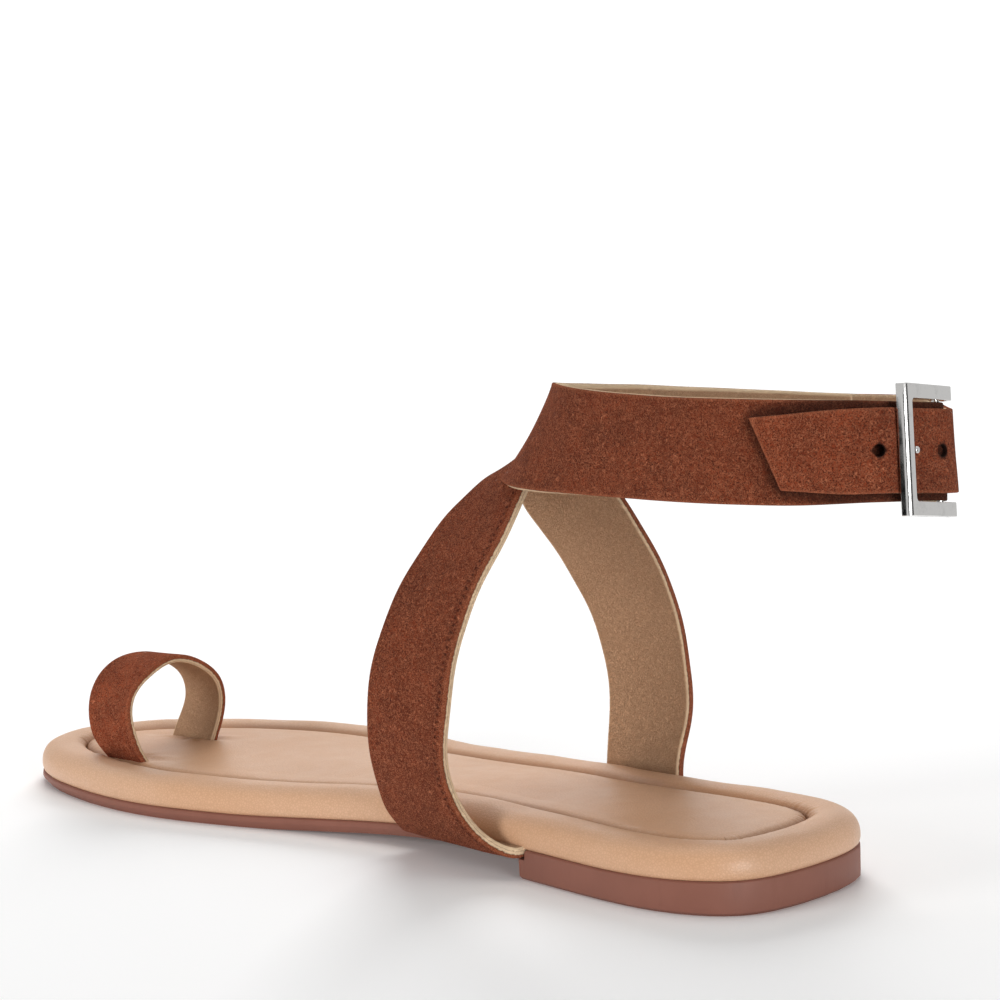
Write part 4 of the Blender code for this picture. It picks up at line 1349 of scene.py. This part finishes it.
def panel_ring(ring):
    """Points of one ring of the cushioned panel."""
    edge = min(ring, PANEL_EDGE_RINGS - 1)
    inset, rise = PANEL_PROFILE[edge]
    flat = OUTLINE + INWARD * inset
    share = max(0, ring - PANEL_EDGE_RINGS + 1) / PANEL_INNER_RINGS
    flat = flat + (middle_line(flat) - flat) * share
    near = np.exp(-((GROOVE_INSET - inset) / PUCKER_REACH) ** 2) * (1.0 - share)
    lift = CROWN * math.sin(share * math.pi / 2) + PUCKER * near * (0.05 + 0.26 * GATHER)
    x, y = flat[:, 0], flat[:, 1]
    soft = np.sin(x * 0.11 + y * 0.045 + 0.6) * np.sin(y * 0.083 + 1.2) * 0.22
    deep, y_low, x_low, reach = HOLLOW
    dip = deep * np.exp(-((y - y_low) / reach) ** 2 - ((x - x_low) / reach) ** 2)
    lift = lift + (soft + dip + pulled(flat)) * min(1.0, ring / PANEL_EDGE_RINGS)
    return np.column_stack([flat, seam_height(y) + rise + lift])


panel, panel_order = extrude_rings("insole_cushion", ROUND_COUNT,
                                   PANEL_EDGE_RINGS + PANEL_INNER_RINGS, panel_ring)
inset_now = np.linalg.norm(coordinates(panel)[:, :2] - OUTLINE[panel_order], axis=1)
paint(panel, "groove", np.abs(inset_now - GROOVE_INSET))

# %% Close the panel
MERGE_WITHIN = 0.01
bpy.ops.object.mode_set(mode="EDIT")
bpy.ops.mesh.select_mode(type="VERT")
bpy.ops.mesh.select_all(action="DESELECT")
bpy.ops.object.mode_set(mode="OBJECT")
last_ring = read_paint(panel, "ring") > PANEL_EDGE_RINGS + PANEL_INNER_RINGS - 1.5
panel.data.vertices.foreach_set("select", last_ring)
bpy.ops.object.mode_set(mode="EDIT")
bpy.ops.mesh.remove_doubles(threshold=MERGE_WITHIN * MM)
bpy.ops.mesh.select_all(action="SELECT")
bpy.ops.mesh.normals_make_consistent(inside=False)
bpy.ops.object.mode_set(mode="OBJECT")
smooth(panel, 60)
dress(panel, LEATHER, "insole_panel")

# %% [markdown]
# ### Outsole
# The outsole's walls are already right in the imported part, so it is a merged copy of that
# node. Its triangles are paired into quads again and a small bevel takes the edges off.

# %% Outsole
def copy_node(node, name):
    """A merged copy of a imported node, as a free piece."""
    only(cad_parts[node])
    bpy.ops.object.duplicate()
    piece = bpy.context.object
    piece.name = name
    piece.data.name = name
    for key in [key for key in piece.keys() if key.startswith("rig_")]:
        del piece[key]
    piece.parent = None
    piece.data.materials.clear()
    bpy.ops.object.mode_set(mode="EDIT")
    bpy.ops.mesh.select_all(action="SELECT")
    bpy.ops.mesh.customdata_custom_splitnormals_clear()
    bpy.ops.mesh.remove_doubles(threshold=MERGE_WITHIN * MM)
    bpy.ops.mesh.tris_convert_to_quads(face_threshold=math.radians(50),
                                       shape_threshold=math.radians(80))
    bpy.ops.object.mode_set(mode="OBJECT")
    return piece


SOLE_ROUND = 0.18
sole = copy_node("outsole", "outsole_shell")
apply_modifier(sole, "BEVEL", width=SOLE_ROUND * MM, segments=2, limit_method="ANGLE",
               angle_limit=math.radians(28), harden_normals=False)
smooth(sole, 45)
dress(sole, RUBBER, "outsole")

# %% [markdown]
# ## Buckle
# A cast frame, open at the hinge side. It starts as a cube for the front bar. Two cuts mark
# off its ends, the end faces are drawn out into the rails, and a bevel rounds everything.
# The hinge pin and the peg are cylinders joined to it.

# %% Frame of the buckle
FRAME_LONG = 17.0
RAIL_LONGER = 1.3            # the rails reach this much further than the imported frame
FRAME_HIGH = 26.8
FRAME_THICK = 2.3
FRAME_RAIL = 3.0
FRAME_BAR = 2.7
BAR_ROUND = 1.25
WINDOW_ROUND = 0.9
FRAME_ROUND = 0.42


def select_faces(piece, test):
    """Select the faces for which the test of centre and normal holds."""
    bpy.ops.object.mode_set(mode="EDIT")
    bpy.ops.mesh.select_mode(type="FACE")
    bpy.ops.mesh.select_all(action="DESELECT")
    bpy.ops.object.mode_set(mode="OBJECT")
    for polygon in piece.data.polygons:
        polygon.select = bool(test(polygon.center, polygon.normal))
    bpy.ops.object.mode_set(mode="EDIT")


def make_frame():
    """Front bar with two rails, in the buckle's own frame."""
    bpy.ops.object.select_all(action="DESELECT")
    bpy.ops.mesh.primitive_cube_add(size=1.0)
    piece = bpy.context.object
    piece.name = "buckle_frame"
    piece.scale = (FRAME_BAR * MM, FRAME_THICK * MM, FRAME_HIGH * MM)
    piece.location = ((FRAME_BAR - FRAME_LONG) / 2 * MM, 0.0, 0.0)
    bpy.ops.object.transform_apply(location=True, rotation=True, scale=True)
    window = (FRAME_HIGH / 2 - FRAME_RAIL) * MM
    for height in (-window, window):
        select_faces(piece, lambda centre, normal: True)
        bpy.ops.mesh.bisect(plane_co=(0.0, 0.0, height), plane_no=(0.0, 0.0, 1.0))
        bpy.ops.object.mode_set(mode="OBJECT")
    select_faces(piece, lambda centre, normal: normal.x > 0.9 and abs(centre.z) > window)
    bpy.ops.mesh.extrude_region_move(
        TRANSFORM_OT_translate={"value": ((FRAME_LONG + RAIL_LONGER - FRAME_BAR) * MM, 0.0, 0.0)})
    bpy.ops.object.mode_set(mode="OBJECT")
    round_bar(piece)
    apply_modifier(piece, "BEVEL", width=FRAME_ROUND * MM, segments=4, limit_method="ANGLE",
                   angle_limit=math.radians(40))
    return piece


def round_bar(piece):
    """Round the bar's outer front edge, and the window's corners, more than the rest."""
    front = -FRAME_LONG / 2 * MM
    back = front + FRAME_BAR * MM
    out = -FRAME_THICK / 2 * MM
    window = (FRAME_HIGH / 2 - FRAME_RAIL) * MM
    for corner, width in ((False, BAR_ROUND), (True, WINDOW_ROUND)):
        bpy.ops.object.mode_set(mode="EDIT")
        bpy.ops.mesh.select_mode(type="EDGE")
        bpy.ops.mesh.select_all(action="DESELECT")
        bpy.ops.object.mode_set(mode="OBJECT")
        for edge in piece.data.edges:
            a, b = (piece.data.vertices[index].co for index in edge.vertices)
            at_front = max(abs(a.x - front), abs(b.x - front), abs(a.y - out), abs(b.y - out))
            at_corner = max(abs(a.x - back), abs(b.x - back), abs(abs(a.z) - window),
                            abs(abs(b.z) - window), abs(a.z - b.z))
            edge.select = (at_corner if corner else at_front) < 1e-5
        bpy.ops.object.mode_set(mode="EDIT")
        bpy.ops.mesh.bevel(offset=width * MM, segments=8, affect="EDGES")
        bpy.ops.mesh.select_mode(type="FACE")
        bpy.ops.object.mode_set(mode="OBJECT")


def make_rod(name, radius, length, at, turn=(0.0, 0.0, 0.0)):
    """A rod with rounded ends, in the buckle's own frame."""
    bpy.ops.object.select_all(action="DESELECT")
    bpy.ops.mesh.primitive_cylinder_add(vertices=32, radius=radius * MM, depth=length * MM,
                                        location=[part * MM for part in at], rotation=turn)
    rod = bpy.context.object
    rod.name = name
    bpy.ops.object.transform_apply(location=True, rotation=True, scale=True)
    apply_modifier(rod, "BEVEL", width=radius * 0.5 * MM, segments=4, limit_method="ANGLE",
                   angle_limit=math.radians(60))
    return rod


def to_buckle_place(piece):
    """Turn and move a piece from the buckle's own frame to its place on the shoe."""
    long_axis, out_axis, up_axis = (Vector(axis) for axis in buckle_axes())
    turn = Matrix((long_axis, -out_axis, up_axis)).transposed().to_4x4()
    at = (np.array(BUCKLE_AT) - CENTRE) * MM
    piece.data.transform(Matrix.Translation(Vector(at)) @ turn)
    piece.data.update()


# %% Put the buckle together
PEG_RADIUS = 0.8
PEG_LONG = 4.1
PEG_OUT = 1.05
buckle = make_frame()
pin = make_rod("hinge_pin", PIN_RADIUS, FRAME_HIGH - FRAME_RAIL, (PIN_AT[0], -PIN_AT[1], 0.0))
peg = make_rod("peg", PEG_RADIUS, PEG_LONG, (PEG_AT, PEG_OUT, 0.0), (math.pi / 2, 0.0, 0.0))
only(buckle)
pin.select_set(True)
peg.select_set(True)
bpy.ops.object.join()
to_buckle_place(buckle)
smooth(buckle, 50)
dress(buckle, METAL, "buckle")
